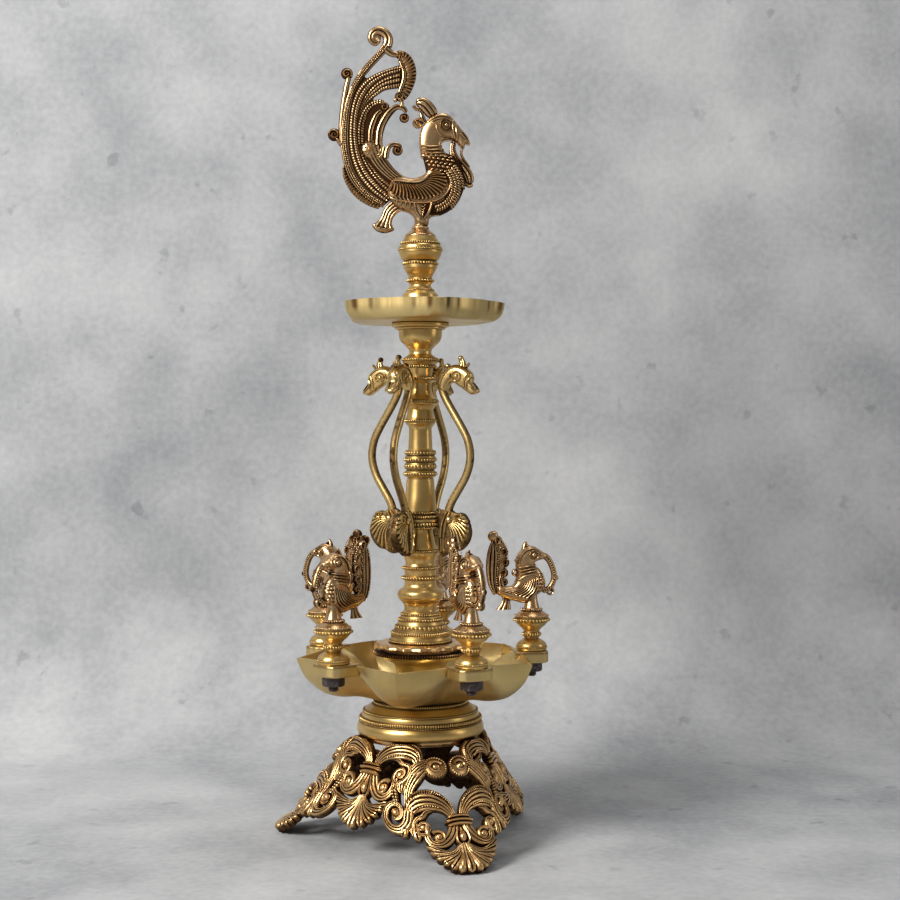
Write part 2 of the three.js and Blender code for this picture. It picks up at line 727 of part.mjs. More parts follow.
function birdStud(k) {
  const from = earBottom - nutHeight - studBelowNut;
  const shoulder = earTop + pedestalHeight - clearance;
  const stud = steppedRod(studDiameter, studTipDiameter, from, shoulder, shoulder + studTipLength,
    smallSides);
  return facing(stud, earAngle(k), earAxisRadius, 0);
}

function birdNut(k) {
  const nut = hexNut(nutFlats, studBore, earBottom - nutHeight, earBottom);
  return facing(nut, earAngle(k), earAxisRadius, 0);
}

// Upper oil plate: a flat floor and a wall that runs out to five narrow spouts
const spoutDrawn = [[0, 1, 1], [5.5, 0.9, 0.8], [11, 0.45, 0.2], [18, 0.1, 0], [27, 0.04, 0], [36, 0, 0]];

function spoutTurns() {
  const degrees = spoutDrawn.map(([turn]) => turn);
  const back = degrees.slice(1, -1).reverse().map((turn) => -turn);
  return [...back, ...degrees];
}

function plateProfile(angle) {
  const fifth = 72;
  const degrees = THREE.MathUtils.radToDeg(angle) - firstSpoutAngle;
  const turn = Math.abs(((((degrees % fifth) + 1.5 * fifth) % fifth) - fifth / 2));
  const drawn = spoutDrawn.find(([at]) => Math.abs(at - turn) < 0.01);
  const rim = mix(plateWaistRadius, plateSpoutRadius, drawn[1]);
  const height = plateHeight - plateSpoutDip * drawn[2];
  const outer = [
    [rodBore, plateFlangeTop],
    [plateFloorRadius, plateFlangeTop],
    [mix(plateFloorRadius, rim, 0.55), plateFlangeTop + height * 0.12],
    [mix(plateFloorRadius, rim, 0.86), plateFlangeTop + height * 0.45],
    [rim, plateFlangeTop + height],
  ];
  const inner = innerSide(outer, plateWall);
  inner[inner.length - 1][1] = plateFlangeTop + height;
  const floor = [[plateFloorRadius - plateWall, plateFloorTop], [rodBore, plateFloorTop]];
  return [...outer, ...inner.slice(2).reverse(), ...floor];
}

function upperOilPlate() {
  const angles = [];
  for (let k = 0; k < 5; k += 1) {
    for (const turn of spoutTurns()) angles.push(radians(firstSpoutAngle + 72 * k + turn));
  }
  return wound(angles, plateProfile);
}

// Peacock finial, drawn from its axis and up from its foot
const peacockDrawn = [[-4, 9], [-3, 20], [-10, 20], [-20, 22], [-30, 27], [-32, 40], [-27, 52],
  [-20, 52], [-11, 47.5], [-3, 50], [0, 57], [-1, 66], [-1, 80], [1, 88], [4, 91.5], [10, 95.5],
  [16, 99.5], [22, 98.5], [27, 93.5], [34, 84], [40.5, 75], [38, 73], [33, 71], [26, 78.5],
  [16, 79], [15.5, 73], [17, 66], [24, 65], [31, 61.5], [33, 52], [37, 42], [34, 34], [30, 27.5],
  [24, 21.5], [15, 17.5], [5, 15.5], [4.5, 9]];
const peacockCrestDrawn = [[13, 96], [9, 100.5], [6, 106], [2, 110], [-2, 111], [-6, 106],
  [-1, 105], [1, 99], [3, 92]];
const peacockGarlandDrawn = [[34, 76], [29, 69], [33, 61], [38, 55], [40.5, 48], [40, 42], [34, 40]];
const peacockFeatherDrawn = [[-3, 12], [-10, 17], [-17, 18], [-22, 15.5], [-24, 10], [-29, 7],
  [-37, 9]];
const peacockFeatherLinkDrawn = [[-8, 27], [-17, 30], [-24, 26], [-28, 18], [-31, 11]];
const tailBandsDrawn = [
  [[-26, 24], [-45, 34.5], [-55, 46.5], [-62, 63.5], [-63.5, 80.5], [-62.5, 95.5], [-60, 108.5],
    [-56, 120.5], [-48, 132.5], [-38, 142.5], [-30, 151.5], [-31, 160]],
  [[-24, 28], [-42, 38.5], [-52, 52.5], [-57, 68.5], [-58, 85.5], [-55, 100.5], [-48, 115.5],
    [-38, 127], [-27, 134], [-17, 138]],
  [[-24, 32], [-38, 42.5], [-46, 53.5], [-52, 68.5], [-53, 85.5], [-50, 98.5], [-44, 108.5],
    [-36, 115], [-26, 119], [-16, 119]],
  [[-24, 36], [-36, 45.5], [-43, 54], [-47, 66], [-47, 84], [-43, 100], [-37, 105.5], [-30, 105]],
];
const peacockFanDrawn = [[-30, 122], [-24, 118], [-16, 112], [-8, 113.5], [-4, 120.5], [-3, 128.5],
  [-3.5, 135.5], [-7, 142.5], [-12, 148.5], [-21, 149], [-21, 140], [-30, 131]];
const peacockButtonsDrawn = [[-33.5, 160.5, 7.5], [-69, 81, 5], [-59, 129, 4.2], [-39, 69.5, 8.5],
  [-29, 104, 4.5], [-19.5, 69.5, 4.5], [-1.5, 90.5, 4], [-13.5, 95, 3.5]];
const peacockLinksDrawn = [
  [[-62, 72], [-66, 76], [-69, 80]],
  [[-56, 119], [-60, 124], [-59, 129]],
  [[-34, 68], [-29, 72.5], [-23, 72], [-19.5, 69.5]],
  [[-37, 74], [-31, 80], [-28, 90], [-22, 98.5], [-14, 96]],
];

function peacockFinial() {
  const thin = finialTailThickness;
  const footDrawn = [[12.5, 0], [12, 2], [7.5, 5.5], [5, 9.5], [4.4, 15]];
  const foot = turned(fitted(footDrawn, finialFootRadius, finialFootHeight, 0), 0, smallSides);
  const pieces = [
    foot,
    flatCasting(peacockDrawn, finialBodyThickness, 2),
    ball(6, 38, 28, 0.68 * finialBodyThickness, 17, -8),
    flatCasting(peacockCrestDrawn, thin),
    flatCasting(peacockFanDrawn, thin),
    flatBand(peacockGarlandDrawn, thin, thin, 6),
    flatBand(peacockFeatherDrawn, thin * 1.5, thin, 6),
    flatBand(peacockFeatherLinkDrawn, thin * 1.3, thin, 5),
  ];
  tailBandsDrawn.forEach((band) => pieces.push(flatBand(band, thin * 1.5, thin, 11)));
  peacockButtonsDrawn.forEach(([x, z, r]) => pieces.push(button(x, z, r, thin)));
  peacockLinksDrawn.forEach((link) => pieces.push(flatBand(link, thin * 0.8, thin * 0.9, 4)));
  const socket = bar(rodTipDiameter / 2 + clearance, -1, rodTipLength + clearance, smallSides);
  const figure = joined(pieces, [socket]);
  figure.translate(0, 0, vaseTop);
  return figure;
}

// Centre rod, with its nut and washer under the base plate
const basePlateBottom = baseHeight - basePlateThickness;
const washerBottom = basePlateBottom - rodWasherThickness;
const rodNutBottom = washerBottom - rodNutHeight;

function centreRod() {
  const shoulder = vaseTop - clearance;
  return steppedRod(rodDiameter, rodTipDiameter, rodNutBottom - rodBelowNut, shoulder,
    shoulder + rodTipLength, smallSides + 2);
}

// Finishes: satin brass, brighter turned brass, dark antiqued brass and blackened steel
const satinBrass = "#a88f55";
const brightBrass = "#c49a45";
const antiqueBrass = "#8c5f37";
const blackSteel = "#3a3238";

addPiece("tripod_base", tripodBase(), antiqueBrass, 0.38);
addPiece("pedestal_dome", pedestalDome(), brightBrass, 0.25);
addPiece("lower_bowl", lowerBowl(), satinBrass, 0.35);
addPiece("bowl_hub", column(bowlHubDrawn, hubRadius, hubHeight, bowlFloorTop), satinBrass, 0.35);
addPiece("serrated_washer", serratedWasher(), antiqueBrass, 0.4);
addPiece("scalloped_flange", scallopedFlange(), brightBrass, 0.3);
for (const [name, drawn, radius, height, from] of [
  ["column_foot", columnFootDrawn, columnFootRadius, columnFootHeight, flangeTop],
  ["lower_column", lowerColumnDrawn, lowerColumnRadius, lowerColumnHeight, columnFootTop],
  ["middle_column", middleColumnDrawn, middleColumnRadius, middleColumnHeight, collarTop],
  ["upper_column", upperColumnDrawn, upperColumnRadius, upperColumnHeight, middleColumnTop],
  ["tulip_cup", tulipDrawn, tulipRadius, tulipHeight, upperColumnTop],
  ["plate_flange", plateFlangeDrawn, plateFlangeRadius, plateFlangeHeight, tulipTop],
  ["finial_vase", vaseDrawn, vaseRadius, vaseHeight, plateFloorTop],
]) {
  addPiece(name, column(drawn, radius, height, from), brightBrass, 0.25);
}
addPiece("arm_collar", armCollar(), brightBrass, 0.3);
for (let k = 0; k < armCount; k += 1) addPiece(`swan_arm_${k + 1}`, swanArm(k), antiqueBrass, 0.35);
addPiece("upper_oil_plate", upperOilPlate(), satinBrass, 0.35);
addPiece("peacock_finial", peacockFinial(), antiqueBrass, 0.38);
for (let k = 0; k < 5; k += 1) {
  addPiece(`bird_figure_${k + 1}`, birdFigure(k), antiqueBrass, 0.38);
  addPiece(`bird_pedestal_${k + 1}`, birdPedestal(k), brightBrass, 0.28);
  addPiece(`bird_stud_${k + 1}`, birdStud(k), blackSteel, 0.5);
  addPiece(`hex_nut_${k + 1}`, birdNut(k), blackSteel, 0.5);
}
addPiece("centre_rod", centreRod(), blackSteel, 0.5);
addPiece("base_washer", turned([[rodWasherRadius, washerBottom], [rodWasherRadius, basePlateBottom]],
  rodBore, columnSides), blackSteel, 0.5);
addPiece("base_nut", hexNut(rodNutFlats, rodBore, rodNutBottom, washerBottom), blackSteel, 0.5);

export default lamp;
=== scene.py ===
# %% [markdown]
# # Dressing a standing oil lamp
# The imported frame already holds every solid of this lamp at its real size: an openwork tripod base,
# a turned ring and dome, a five-lobed oil bowl with five small birds, a column with four swan-headed
# arms, a small oil plate and a peacock. Here each of those solids gets the surface and the ornament
# of cast, turned and polished brass. The frame is loaded first, because everything is placed by it.

# %% The frame, and the modules used
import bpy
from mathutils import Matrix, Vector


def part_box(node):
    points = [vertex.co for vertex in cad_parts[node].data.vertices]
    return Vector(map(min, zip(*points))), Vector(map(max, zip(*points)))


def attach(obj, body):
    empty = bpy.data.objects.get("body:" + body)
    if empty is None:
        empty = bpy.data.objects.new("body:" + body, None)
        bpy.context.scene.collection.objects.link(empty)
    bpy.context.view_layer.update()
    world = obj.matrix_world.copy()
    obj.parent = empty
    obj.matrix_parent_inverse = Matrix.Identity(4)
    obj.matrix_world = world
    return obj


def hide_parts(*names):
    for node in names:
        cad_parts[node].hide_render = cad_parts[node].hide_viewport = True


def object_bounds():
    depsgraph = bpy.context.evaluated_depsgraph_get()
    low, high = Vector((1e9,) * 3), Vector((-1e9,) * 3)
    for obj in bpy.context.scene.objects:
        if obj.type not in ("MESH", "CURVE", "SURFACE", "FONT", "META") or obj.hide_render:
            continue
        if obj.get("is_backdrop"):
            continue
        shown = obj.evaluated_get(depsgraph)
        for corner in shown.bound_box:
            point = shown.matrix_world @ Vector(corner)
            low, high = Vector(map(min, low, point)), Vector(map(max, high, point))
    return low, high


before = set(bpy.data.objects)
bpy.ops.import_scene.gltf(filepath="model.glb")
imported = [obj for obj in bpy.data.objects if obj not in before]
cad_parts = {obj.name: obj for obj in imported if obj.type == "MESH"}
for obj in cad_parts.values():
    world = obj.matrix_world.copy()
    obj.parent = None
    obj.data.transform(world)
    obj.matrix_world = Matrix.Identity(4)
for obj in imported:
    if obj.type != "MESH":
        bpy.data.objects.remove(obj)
cad_corners = [list(corner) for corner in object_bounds()]

import math

import bmesh
import bpy
import numpy as np
from mathutils import Vector
from mathutils.geometry import delaunay_2d_cdt

MM = 0.001
TURN = 2 * math.pi
scene = bpy.context.scene

# %% [markdown]
# ## Camera
# The photograph looks almost level at the lamp, from half its height and about 1.26 m away, with a
# mild long lens. A camera could be aimed with a Track To constraint, but written numbers keep the
# framing exact.

# %% Camera at the photograph's angle
LOOKS_DOWN, LOOKS_RIGHT = 0.81, 1.08
lens = bpy.data.cameras.new("photo_lens")
lens.lens = 62.85
lens.sensor_width = 36
camera = bpy.data.objects.new("photo_camera", lens)
camera.location = (0, -1.257, 0.3277)
camera.rotation_euler = (math.radians(90 - LOOKS_DOWN), 0, math.radians(-LOOKS_RIGHT))
scene.collection.objects.link(camera)
scene.camera = camera
print("camera distance in mm:", round(-camera.location.y / MM))

# %% [markdown]
# ## Shader maths
# A finish is a small sum of masks: worn here, dark there, a little noise. Wiring Math nodes by hand
# hides such a sum, so a wrapped socket takes Python's own operators, and one method makes any other
# node from its settings and inputs.

# %% A socket that can be added and multiplied
class Value:
    def __init__(self, finish, socket):
        self.finish = finish
        self.socket = socket

    def maths(self, operation, *others):
        inputs = dict(enumerate((self, *others)))
        return self.finish.node("ShaderNodeMath", {"operation": operation}, inputs)

    def __add__(self, other):
        return self.maths("ADD", other)

    def __mul__(self, other):
        return self.maths("MULTIPLY", other)

    def __sub__(self, other):
        return self.maths("SUBTRACT", other)

    def __rsub__(self, other):
        return self.maths("MULTIPLY", -1.0) + other

    __radd__ = __add__

    def between(self, low, high):
        """0 below low, 1 above high, and a smooth step from one to the other."""
        settings = {"interpolation_type": "SMOOTHSTEP"}
        return self.finish.node("ShaderNodeMapRange", settings, {0: self, 1: low, 2: high})


# %% A finish: one material and the nodes in it
class Finish:
    def __init__(self, name):
        self.name = name
        self.material = bpy.data.materials.new(name)
        self.material.use_nodes = True
        self.tree = self.material.node_tree
        self.shader = self.tree.nodes["Principled BSDF"]

    def node(self, kind, settings=None, inputs=None, output=0):
        made = self.tree.nodes.new(kind)
        for name, setting in (settings or {}).items():
            setattr(made, name, setting)
        for name, given in (inputs or {}).items():
            self.plug(made.inputs[name], given)
        return Value(self, made.outputs[output])

    def plug(self, socket, given):
        if isinstance(given, Value):
            self.tree.links.new(given.socket, socket)
        else:
            socket.default_value = given

    def mixed(self, share, first, second):
        """The first colour where share is 0, and the second where it is 1."""
        settings = {"data_type": "RGBA"}
        return self.node("ShaderNodeMix", settings, {0: share, 6: first, 7: second}, 2)

    def stored(self, name):
        """A number that the mesh carries for each of its points."""
        return self.node("ShaderNodeAttribute", {"attribute_name": name}, output=2)

    def noise(self, size_mm, detail=3.0, stretch=(1, 1, 1)):
        """Soft noise with features of about one size, in the piece's own space."""
        place = self.node("ShaderNodeTexCoord", output=3)
        factor = tuple(share / (size_mm * MM) for share in stretch)
        scaled = self.node("ShaderNodeVectorMath", {"operation": "MULTIPLY"}, {0: place, 1: factor})
        return self.node("ShaderNodeTexNoise", None, {"Vector": scaled, "Scale": 1.0, "Detail": detail})

    def recess(self, reach_mm):
        """1 deep in a groove and 0 on an open face."""
        settings = {"samples": 8}
        open_share = self.node("ShaderNodeAmbientOcclusion", settings, {"Distance": reach_mm * MM}, 1)
        return 1 - open_share

    def surface(self, **inputs):
        for name, given in inputs.items():
            self.plug(self.shader.inputs[name.replace("_", " ")], given)

    def bump(self, height, strength, depth_mm):
        inputs = {"Height": height, "Strength": strength, "Distance": depth_mm * MM}
        self.surface(Normal=self.node("ShaderNodeBump", None, inputs))


def linear(red, green, blue):
    """A colour as a screen shows it, 0 to 255, turned into the renderer's scale."""
    return tuple((share / 255) ** 2.2 for share in (red, green, blue)) + (1.0,)

# %% [markdown]
# ## Studio
# A pale mottled sweep stands for the floor and the wall behind: one sheet with a wide curve, so no
# line shows where they meet. It is clear from its back, so the lamp can be looked at from every
# side. Brass is a mirror in disguise, so the light matters as much as the colour: a wide soft lamp
# high on the left makes the long highlights, and the dimmer world all round gives the brown
# reflections between them.

# %% Floor and backdrop in one sweep
SWEEP_WIDTH = 4.0
WALL_BEHIND = 0.42
SWEEP_BEND = 0.16
BEND_STEPS = 12
sweep_line = [(-3.0, 0.0), (-1.5, 0.0), (-0.5, 0.0), (0.0, 0.0)]
for k in range(BEND_STEPS + 1):
    angle = math.radians(90 * k / BEND_STEPS)
    out = WALL_BEHIND - SWEEP_BEND * (1 - math.sin(angle))
    sweep_line.append((out, SWEEP_BEND * (1 - math.cos(angle))))
sweep_line += [(WALL_BEHIND, 1.2), (WALL_BEHIND, 2.6)]
floor_behind = [(0.0, -0.001), (3.0, -0.001)]
sheet_points = [(side * SWEEP_WIDTH / 2, y, z)
                for y, z in sweep_line + floor_behind for side in (-1, 1)]
sheet_faces = [(2 * k, 2 * k + 1, 2 * k + 3, 2 * k + 2) for k in range(len(sweep_line) + 1)
               if k != len(sweep_line) - 1]
sheet = bpy.data.meshes.new("studio_sweep")
sheet.from_pydata(sheet_points, [], sheet_faces)
sheet.polygons.foreach_set("use_smooth", [True] * len(sheet.polygons))
sweep = bpy.data.objects.new("studio_sweep", sheet)
scene.collection.objects.link(sweep)

canvas = Finish("painted_canvas")
cloud = canvas.noise(420, 3.0).between(0.25, 0.75) * 0.4 + canvas.noise(90, 7.0).between(0.1, 0.9) * 0.4
cloud = cloud + canvas.noise(7, 6.0).between(0.1, 0.9) * 0.2
darkening = canvas.noise(26, 3.0).between(0.66, 0.74) * 0.18
canvas.surface(
    Base_Color=canvas.mixed(cloud - darkening, linear(106, 109, 114), linear(195, 196, 197)),
    Roughness=0.85,
)
canvas.bump(canvas.noise(2, 2.0), 0.1, 0.3)
from_behind = canvas.node("ShaderNodeNewGeometry", output=6)
painted = Value(canvas, canvas.shader.outputs[0])
clear = canvas.node("ShaderNodeBsdfTransparent")
one_sided = canvas.node("ShaderNodeMixShader", None, {0: from_behind, 1: painted, 2: clear})
canvas.tree.links.new(one_sided.socket, canvas.tree.nodes["Material Output"].inputs["Surface"])
sheet.materials.append(canvas.material)
sweep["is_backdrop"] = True


# %% Lamps and the dim room around
LAMP_MIDDLE = Vector((0, 0, 0.3))


def soft_lamp(name, place, width, height, watts, colour):
    """A glowing rectangle aimed at the middle of the lamp."""
    light = bpy.data.lights.new(name, "AREA")
    light.shape = "RECTANGLE"
    light.size, light.size_y = width, height
    light.energy = watts
    light.color = colour
    lamp = bpy.data.objects.new(name, light)
    lamp.location = place
    lamp.rotation_euler = (LAMP_MIDDLE - Vector(place)).to_track_quat("-Z", "Y").to_euler()
    scene.collection.objects.link(lamp)


soft_lamp("window", (-1.3, -1.22, 1.3), 0.8, 0.8, 60, (1.0, 0.98, 0.95))
soft_lamp("side_card", (1.5, -0.35, 0.7), 0.25, 1.1, 2.5, (1.0, 0.96, 0.92))
soft_lamp("top_card", (0.1, 0.05, 1.9), 1.0, 0.6, 8, (1.0, 1.0, 1.0))
room = bpy.data.worlds.new("room")
room.use_nodes = True
glow = room.node_tree.nodes["Background"]
glow.inputs["Color"].default_value = (0.21, 0.205, 0.20, 1.0)
glow.inputs["Strength"].default_value = 1.0
scene.world = room
scene.view_settings.view_transform = "Standard"
print("lights:", len(bpy.data.lights), "and a dim room")

# %% [markdown]
# ## The finishes
# All the brass is one alloy, worked in different ways. Turned pieces keep the lathe's fine lines and
# a warm polish. The bowls are scoured to a pale satin with soft upright streaks. The castings are
# darkened all over and then rubbed, so only their ridges shine: a close mask of how enclosed a point
# is, and a groove depth stored on the mesh, stand for where the rubbing never reached. All the brass
# also carries painted shade: a mask of how enclosed a point is darkens the colour in recesses and
# where parts come close, as do the bands behind the turned marks and the plate's creases. The
# rubbing leaves the base brightest, the swans paler and the birds and peacock darker, so one
# function makes all three. The nuts and studs are blackened steel.

# %% Turned brass, with lines that follow the tool
turned = Finish("turned_brass")
travel = turned.stored("tool_travel")
tarnish = turned.noise(22, 4.0).between(0.42, 0.68) * 0.6
# Painted shade: the close and the wide recess masks darken the colour in recesses and where parts come
# close, and the stored groove depth darkens a band behind each ring of marks as the shade between them;
# the specks are the brass's own random tone.
recess_shade = turned.recess(1.5).between(0.12, 0.62)
wide_recess_shade = turned.recess(9).between(0.35, 0.95) * 0.45
groove = turned.stored("groove_depth")
speck = (turned.noise(1.2, 3.0) - 0.5) * 0.16
shade = (recess_shade * 0.85 + wide_recess_shade + groove * 0.55 + speck).between(0.03, 0.97)
clean = turned.mixed(tarnish, (0.70, 0.47, 0.17, 1), (0.54, 0.335, 0.105, 1))
turned.surface(
    Base_Color=turned.mixed(shade, clean, (0.075, 0.036, 0.012, 1)),
    Metallic=1.0,
    Roughness=0.25 + turned.noise(7, 3.0) * 0.14 + shade * 0.25,
)
tool_lines = turned.noise(0.9, 2.0, (0.02, 0.02, 1.0)) * 0.7 + (travel * 5.2).maths("SINE") * 0.12
turned.bump(tool_lines, 0.2, 0.05)

# %% Satin brass, scoured up and down
satin = Finish("satin_brass")
streak = satin.noise(3.5, 3.0, (1.0, 1.0, 0.12)).between(0.3, 0.7)
dull = satin.noise(34, 3.0).between(0.4, 0.72) * 0.7
# Painted shade: the recess mask darkens the dishes in their corners and where parts come close, and the
# stored groove depth paints the shade of the plate's creases; on the ears that depth is their rough,
# darker cast edge, and the spots are the brass's own.
corner = satin.recess(5).between(0.3, 0.9)
crease_shade_and_ear_edge = satin.stored("groove_depth")
spots = satin.noise(2.2, 4.0).between(0.66, 0.78) * 0.3
darkening = (corner * 0.7 + crease_shade_and_ear_edge * 0.85 + spots).between(0.02, 1.0)
pale = satin.mixed(dull, (0.66, 0.495, 0.215, 1), (0.53, 0.375, 0.14, 1))
satin.surface(
    Base_Color=satin.mixed(darkening, pale, (0.13, 0.066, 0.024, 1)),
    Metallic=1.0,
    Roughness=0.34 + streak * 0.08 + dull * 0.1,
)
satin.bump(satin.noise(1.6, 3.0, (1.0, 1.0, 0.2)) + satin.noise(12, 2.0) * 2, 0.14, 0.08)

# %% Cast brass: dark in every recess, rubbed bright on the ridges
def cast_finish(name, bright, warm, deep, darkness):
    """A darkened casting after rubbing, with painted shade from a wide recess mask; darkness is how
    much of the dark the rubbing left, and it scales the painted shade too.
    """
    cast = Finish(name)
    cut = cast.stored("groove_depth")
    # The close mask and the groove depth are the patina left in hollows; the wide mask is painted shade
    # where parts come close and under them.
    hollow = cast.recess(1.7).between(0.12, 0.6)
    shade = cast.recess(8).between(0.4, 0.95) * 0.45
    blotch = cast.noise(4, 4.0).between(0.5, 0.8) * 0.4
    grain = (cast.noise(0.7, 4.0) - 0.5) * 0.55
    patina_and_shade = hollow * 0.9 + cut.maths("POWER", 0.75) + shade + blotch + grain
    patina_and_shade_mix = (patina_and_shade * darkness).between(0.06, 0.92)
    cast.surface(
        Base_Color=cast.mixed(patina_and_shade_mix, cast.mixed(cast.noise(12, 3.0), bright, warm), deep),
        Metallic=1.0,
        Roughness=0.24 + patina_and_shade_mix * 0.3 + cast.noise(3, 3.0) * 0.08,
    )
    cast.bump(cast.noise(0.9, 3.0) * 0.7 + cast.noise(3, 2.0), 0.32, 0.2)
    return cast


antique = cast_finish(
    "antique_brass", (0.87, 0.59, 0.28, 1), (0.60, 0.33, 0.125, 1), (0.052, 0.020, 0.007, 1), 1.1)
dark_cast = cast_finish(
    "dark_cast_brass", (0.70, 0.475, 0.255, 1), (0.50, 0.30, 0.135, 1), (0.042, 0.018, 0.007, 1), 1.15)
pale_cast = cast_finish(
    "pale_cast_brass", (0.74, 0.53, 0.23, 1), (0.58, 0.38, 0.14, 1), (0.06, 0.03, 0.011, 1), 1.1)

# %% Blackened steel, worn to grey in small patches
steel = Finish("black_steel")
scuff = steel.noise(2.2, 4.0).between(0.5, 0.75)
steel.surface(
    Base_Color=steel.mixed(scuff, (0.070, 0.056, 0.056, 1), (0.20, 0.165, 0.16, 1)),
    Metallic=0.8,
    Roughness=0.38 + steel.noise(1.5, 3.0) * 0.2,
)
steel.bump(steel.noise(0.8, 3.0), 0.3, 0.08)
FINISHES = {finish.name: finish for finish in (turned, satin, antique, dark_cast, pale_cast, steel)}
for name, finish in FINISHES.items():
    print(name, "has", len(finish.tree.nodes), "nodes")

# %% [markdown]
# ## From points to pieces
# Every piece below starts as plain lists of points in millimetres and ends as one mesh at the
# origin, in metres, riding on its CAD body. A small shop of helpers does that: a form is a pair of
# points and faces, forms are gathered, and one call turns them into the piece that stands for a node.

# %% Forms: gathered points and faces, with a groove depth or tool travel for each point
TURNED_CREASE, CAST_CREASE = 38, 50


class Form:
    def __init__(self):
        self.points, self.faces = [], []
        self.groove, self.travel = [], []

    def add(self, points, faces, groove=None, travel=None):
        first = len(self.points)
        points = np.asarray(points, float)
        self.points.extend(points.tolist())
        self.faces.extend(tuple(first + k for k in face) for face in faces)
        for store, given in ((self.groove, groove), (self.travel, travel)):
            store.extend([0.0] * len(points) if given is None else np.ravel(given).tolist())
        return self

    def mesh(self, name, finish, crease=TURNED_CREASE):
        made = bpy.data.meshes.new(name)
        made.from_pydata((np.array(self.points) * MM).tolist(), [], self.faces)
        for label, values in (("groove_depth", self.groove), ("tool_travel", self.travel)):
            made.attributes.new(label, "FLOAT", "POINT").data.foreach_set("value", values)
        work = bmesh.new()
        work.from_mesh(made)
        bmesh.ops.recalc_face_normals(work, faces=work.faces)
        work.to_mesh(made)
        work.free()
        made.polygons.foreach_set("use_smooth", [True] * len(made.polygons))
        made.set_sharp_from_angle(angle=math.radians(crease))
        made.materials.append(FINISHES[finish].material)
        return made


def sheet_of_rings(rings, closed_across=True, closed_along=False, capped=True):
    """Faces between rings of points, each as long as the next, with their ends capped."""
    rows, columns = len(rings), len(rings[0])
    faces = []
    for k in range(rows if closed_along else rows - 1):
        for j in range(columns if closed_across else columns - 1):
            a, b = k * columns, ((k + 1) % rows) * columns
            faces.append((a + j, a + (j + 1) % columns, b + (j + 1) % columns, b + j))
    if capped and not closed_along:
        faces.append(tuple(reversed(range(columns))))
        faces.append(tuple((rows - 1) * columns + j for j in range(columns)))
    return np.concatenate([np.asarray(ring, float) for ring in rings]), faces


def smooth_line(points, steps=6):
    """A smooth line through given points."""
    points = np.asarray(points, float)
    padded = np.vstack([2 * points[0] - points[1], points, 2 * points[-1] - points[-2]])
    share = np.linspace(0, 1, steps, endpoint=False)[:, None]
    line = []
    for a, b, c, d in zip(padded, padded[1:], padded[2:], padded[3:]):
        line.append(0.5 * (2 * b + (c - a) * share + (2 * a - 5 * b + 4 * c - d) * share ** 2
                           + (3 * b - a - 3 * c + d) * share ** 3))
    return np.vstack(line + [points[-1:]])


def evenly(line, count):
    """The same line, at evenly spaced points."""
    line = np.asarray(line, float)
    length = np.concatenate([[0], np.cumsum(np.linalg.norm(np.diff(line, axis=0), axis=1))])
    at = np.linspace(0, length[-1], count)
    return np.column_stack([np.interp(at, length, column) for column in line.T])


def spread(points, count):
    """A smooth line through given points, at evenly spaced points."""
    return evenly(smooth_line(points), count)


def foot_and_top(node):
    low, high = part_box(node)
    return low.z / MM, high.z / MM


def middle_of(node):
    low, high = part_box(node)
    return (low.x + high.x) / 2 / MM, (low.y + high.y) / 2 / MM


made_pieces = {}


def piece(name, mesh, body, slot, *nodes):
    """Puts a finished mesh in the scene as the piece that stands for these CAD nodes."""
    item = bpy.data.objects.new(name, mesh)
    scene.collection.objects.link(item)
    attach(item, body)
    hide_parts(*nodes)
    mesh.calc_loop_triangles()
    made_pieces[name] = len(mesh.loop_triangles)
    print(f"{name}: {made_pieces[name]} triangles on {body}")


def plain_piece(name, form, finish, node, crease=TURNED_CREASE, body="stand"):
    """The piece made from one form, for one CAD node, in a finish."""
    piece(name, form.mesh(node, finish, crease), body, finish, node)

# %% [markdown]
# ## Rings of beads and teeth
# A turner finishes a band by rolling a knurl round it: a ring of beads, teeth or small lozenges, all
# alike. That is one small form repeated on a circle, so a Geometry Nodes tree makes it, with the
# count, the circle and the form's size as inputs. One modifier adds one ring.

# %% The tree that adds one ring of raised marks to a piece
KNURL_INPUTS = (
    ("Count", "NodeSocketInt"), ("Ring radius", "NodeSocketFloat"), ("Place", "NodeSocketVector"),
    ("Mark size", "NodeSocketVector"), ("Finish", "NodeSocketMaterial"),
)


def tree_with(name, inputs):
    """An empty node tree that takes a geometry and these inputs and gives a geometry."""
    tree = bpy.data.node_groups.new(name, "GeometryNodeTree")
    tree.interface.new_socket("Geometry", in_out="INPUT", socket_type="NodeSocketGeometry")
    for label, kind in inputs:
        tree.interface.new_socket(label, in_out="INPUT", socket_type=kind)
    tree.interface.new_socket("Geometry", in_out="OUTPUT", socket_type="NodeSocketGeometry")
    return tree, tree.nodes.new("NodeGroupInput"), tree.nodes.new("NodeGroupOutput")


def chain(tree, kind, settings=None, **sockets):
    """A node with its settings, and its inputs linked where a socket is given."""
    made = tree.nodes.new(kind)
    for label, setting in (settings or {}).items():
        setattr(made, label, setting)
    for label, given in sockets.items():
        socket = made.inputs[label.replace("_", " ")]
        if isinstance(given, bpy.types.NodeSocket):
            tree.links.new(given, socket)
        else:
            socket.default_value = given
    return made


def marks_on_points(tree, given, points, segments, rings, **turned_by):
    """Small rounded marks on points, made real and shaded smooth."""
    mark = chain(tree, "GeometryNodeMeshUVSphere", Radius=1.0, Segments=segments, Rings=rings)
    placed = chain(
        tree, "GeometryNodeInstanceOnPoints",
        Points=points, Instance=mark.outputs[0], Scale=given.outputs["Mark size"], **turned_by,
    )
    real = chain(tree, "GeometryNodeRealizeInstances", Geometry=placed.outputs[0])
    return chain(tree, "GeometryNodeSetShadeSmooth", Geometry=real.outputs[0])


def finished(tree, given, made, geometry):
    """Gives the geometry its finish and ends the tree with it."""
    end = chain(
        tree, "GeometryNodeSetMaterial", Geometry=geometry.outputs[0], Material=given.outputs["Finish"],
    )
    tree.links.new(end.outputs[0], made.inputs[0])
    print(tree.name, "tree:", len(tree.nodes), "nodes")


